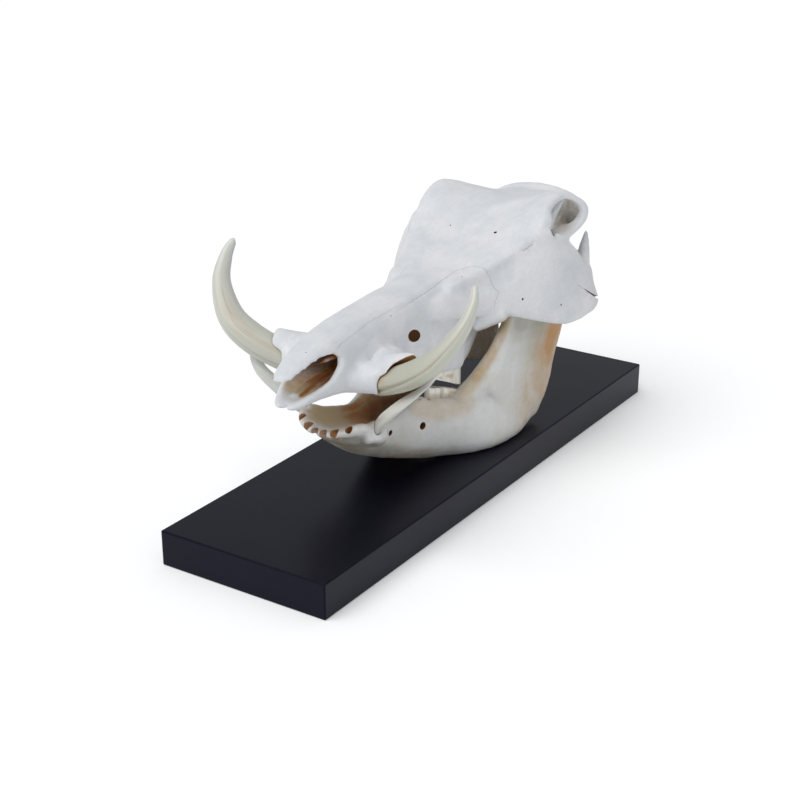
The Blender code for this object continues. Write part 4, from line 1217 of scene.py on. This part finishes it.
def lacquer_material(name):
    # Satin black lacquer sprayed on wood fibre board: near black, with a faint orange-peel sheen.
    material, tree, shader = new_material(name)
    place = add(tree, "TexCoord", out="Object")
    peel = add(tree, "TexNoise", {"Vector": place, "Scale": 1 / .0025, "Detail": 2.0})
    handling = add(tree, "TexNoise", {"Vector": place, "Scale": 1 / 0.090, "Detail": 3.0})
    colour = add(tree, "Mix", {0: handling, 6: linear("#050510"), 7: linear("#080816")}, out=2,
                 data_type="RGBA")
    tree.links.new(colour, shader.inputs["Base Color"])
    dull = add(tree, "MapRange", {"Value": handling, "To Min": 0.24, "To Max": 0.34})
    tree.links.new(dull, shader.inputs["Roughness"])
    bump = add(tree, "Bump", {"Height": peel, "Strength": 0.4, "Distance": .00006})
    tree.links.new(bump, shader.inputs["Normal"])
    shader.inputs["Specular IOR Level"].default_value = 0.17
    shader.inputs["Specular Tint"].default_value = linear("#CFD1FF")
    return material


def dress(obj, material, slot, *nodes):
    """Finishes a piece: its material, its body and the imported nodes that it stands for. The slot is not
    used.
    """
    obj.data.materials.clear()
    obj.data.materials.append(material)
    obj.data.shade_smooth()
    obj.data.set_sharp_from_angle(angle=CRISP_ANGLE)
    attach(obj, "root")
    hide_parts(*nodes)


def tusk(name, path, side, flat, flat_axis, profile, stains, seated):
    """A tusk as a bar, with its grain stored as the angle round it and the way along it.

    A stain is the angle and the share of the length at its middle, its reach in both, and its strength.
    """
    bm = bmesh.new()
    tube(bm, path, side=side, flatten=flat, flat_axis=flat_axis, around=TUSK_AROUND, along=TUSK_ALONG,
         profile=profile)
    obj = new_object(name, bm)
    points = read_vectors(obj.data, "co") * (1 if side == "left" else -1, 1, 1)
    line, _, thin, wide = bar_frames(path, TUSK_ALONG * FINE_ALONG, flat_axis)
    _, share, place = distance_to(line, points)
    step = np.rint(share * (len(line) - 1)).astype(int)
    aside = ((points - place) * wide[step]).sum(axis=1)
    above = ((points - place) * thin[step]).sum(axis=1) / flat
    reach = np.maximum(np.hypot(aside, above), 1e-6)
    grain = np.stack([aside / reach, above / reach, share * TUSK_STREAK], axis=1)
    store(obj.data, "grain", grain + (0 if side == "left" else RIGHT_GRAIN_SHIFT))
    amount = np.zeros(len(points))
    for middle, middle_share, angle_reach, share_reach, strength in stains:
        turn = np.angle((aside + 1j * above) * np.exp(-1j * middle))
        spread = (turn / angle_reach) ** 2 + ((share - middle_share) / share_reach) ** 2
        amount = np.maximum(amount, strength * np.exp(-spread))
    store(obj.data, "tan", amount)
    aged = np.clip(TUSK_AGED * (1 - share), 0, 1)
    store(obj.data, "aged", aged * (1 if side == "left" else RIGHT_TUSK_AGED))
    if seated:
        obj.data.transform(SEAT)
    return obj


def upper_grooves(angles, share):
    """Long furrows of an upper tusk, as what is left of its radius."""
    left = np.ones(len(angles))
    for middle, width, depth, middle_share, reach in UPPER_FURROWS:
        turn = np.angle(np.exp(1j * (angles - middle)))
        left -= depth * np.exp(-(turn / width) ** 2 - ((share - middle_share) / reach) ** 2)
    return left


def lower_grooves(angles, share):
    """A lower tusk's worn inner face, as what is left of its radius."""
    turn = np.angle(np.exp(1j * (angles - LOWER_WORN_ANGLE)))
    depth = LOWER_WORN_DEPTH * min(1, share / LOWER_WORN_START)
    return 1 - depth * np.exp(-(turn / LOWER_WORN_WIDTH) ** 2)


def build_board():
    bm = bmesh.new()
    size = Matrix.Diagonal((BOARD_WIDTH, BOARD_LENGTH, BOARD_THICKNESS, 1))
    bmesh.ops.create_cube(bm, size=1, matrix=Matrix.Translation((0, 0, BOARD_THICKNESS / 2)) @ size)
    obj = new_object("lacquered_board", bm)
    add_modifier(obj, "BEVEL", width=BOARD_EDGE_ROUND, segments=4, profile=0.5, harden_normals=True,
                 affect="EDGES", limit_method="ANGLE")
    return obj


def build_nose_inside(bm):
    """The plough bone's ridge on the nose floor and the scrolls that hang beside it."""
    tube(bm, [((.0022, -.218, .1535), .0016), ((.0026, -.19, .157), .0026), ((.0026, -.15, .16), .0032),
              ((.002, -.105, .165), .0034)])
    tube(bm, [((.0085, -.194, .176), .0012), ((.0105, -.178, .1775), .0028), ((.0095, -.145, .178), .004),
              ((.007, -.105, .177), .004)])


def make_camera():
    camera = bpy.data.objects.new("camera", bpy.data.cameras.new("camera"))
    scene.collection.objects.link(camera)
    camera.location = CAMERA_PLACE
    camera.rotation_euler = (math.radians(90 - CAMERA_DOWN), 0, math.radians(CAMERA_ROUND))
    camera.data.sensor_width = 36
    camera.data.lens = CAMERA_LENS
    scene.camera = camera


def studio():
    bm = bmesh.new()
    bmesh.ops.create_grid(bm, x_segments=1, y_segments=1, size=FLOOR_HALF)
    floor = new_object("floor", bm)
    # plain pale paper, matt
    material, _, shader = new_material("pale_paper")
    shader.inputs["Base Color"].default_value = linear("#FBFBFB")
    shader.inputs["Emission Color"].default_value = (1, 1, 1, 1)
    shader.inputs["Emission Strength"].default_value = FLOOR_GLOW
    shader.inputs["Roughness"].default_value = 0.9
    shader.inputs["Specular IOR Level"].default_value = 0.0
    floor.data.materials.append(material)
    world = bpy.data.worlds.new("studio")
    scene.world = world
    world.use_nodes = True
    background = world.node_tree.nodes["Background"]
    background.inputs["Color"].default_value = linear("#F6F8FB")
    background.inputs["Strength"].default_value = SKY_STRENGTH
    lamp = bpy.data.lights.new("overhead", "SUN")
    lamp.energy = LAMP_STRENGTH
    lamp.angle = LAMP_SPREAD
    overhead = bpy.data.objects.new("overhead", lamp)
    overhead.rotation_euler = LAMP_FROM.to_track_quat("Z", "Y").to_euler()
    scene.collection.objects.link(overhead)


make_camera()
scene.view_settings.view_transform = "Standard"

cranium_hollows = [cut_nose_sides, cut_nose, cut_nose_notch, cut_orbit, cut_cheek_hollow, cut_skull_back,
                   cut_hinges, cut_branch_room, cut_peak_room, cut_socket_fronts]
cranium = bone("bone_cranium", build_cranium, cranium_hollows, [build_nose_inside], CRANIUM_VOXEL,
               CRANIUM_PRESSES)
for shapes, stained in (([cut_tusk_gaps], 0.45), ([cut_tusk_sockets], 0.4),
                        ([cut_cheek_holes, cut_pits], 1.0), ([cut_cheek_slit], 0.28)):
    carve(cranium, shapes, stained=stained)
cranium.data.transform(SEAT)
mandible = bone("bone_mandible", build_jaw, [cut_jaw_bite, cut_board_top], [], JAW_VOXEL, JAW_PRESSES)
for shape, stained in ((cut_lower_tusk_sockets, 0.55), (cut_incisor_sockets, 0.33), (cut_chin_holes, 1.0)):
    carve(mandible, [shape], stained=stained)
for part, layers in ((cranium, (CRANIUM_TAN_STAIN_AND_SHADE, CRANIUM_RUST, CRANIUM_DARK_SHADE, CRANIUM_OLIVE_SHADE, [])),
                     (mandible, (JAW_TAN_STAIN_AND_SHADE, JAW_RUST_STAIN_AND_SHADE, JAW_DARK_SHADE, JAW_OLIVE_SHADE, JAW_ORANGE))):
    for layer, spots in zip(("tan", "rust_stain_and_shade", "dark_shade", "olive_shade", "orange"), layers):
        paint_stain_and_shade(part.data, layer, spots)
seams(cranium.data, CRANIUM_SEAMS)
seams(mandible.data, [])
dress(cranium, bone_material("bleached_bone", "#E0E1E3", "#D2D5D9"), "cranium_bone", "cranium")
dress(mandible, bone_material("stained_bone", "#DADAD9", "#CFCDC6"), "mandible_bone", "mandible")

upper_ivory = ivory_material("upper_tusk_ivory", "#DBDCD9", "#D0D0C7", "#B6B7A7")
lower_ivory = ivory_material("lower_tusk_ivory", "#DDDFE0", "#D5D6D3", "#D0D0C8")
enamel = enamel_material("tooth_enamel")
for side in ("left", "right"):
    upper = tusk(f"ivory_upper_tusk_{side}", upper_tusk_path(side), side, UPPER_FLAT, UPPER_FLAT_AXIS,
                 upper_grooves, UPPER_STAINS[side], True)
    dress(upper, upper_ivory, "tusk_ivory", f"upper_tusk_{side}")
    lower = tusk(f"ivory_lower_tusk_{side}", lower_tusk_path(side), side, LOWER_FLAT, LOWER_FLAT_AXIS,
                 lower_grooves, LOWER_STAINS[side], False)
    dress(lower, lower_ivory, "tusk_ivory", f"lower_tusk_{side}")
    for kind in MOLARS:
        bm = bmesh.new()
        molar(bm, kind, side)
        tooth = new_object(f"enamel_{kind}_{side}", bm)
        if kind.startswith("upper"):
            tooth.data.transform(SEAT)
        paint_stain_and_shade(tooth.data, "tan", TOOTH_TAN[kind])
        dress(tooth, enamel, "tooth_enamel", f"{kind}_{side}")
board = build_board()
dress(board, lacquer_material("satin_black_lacquer"), "board_lacquer", "board")
studio()
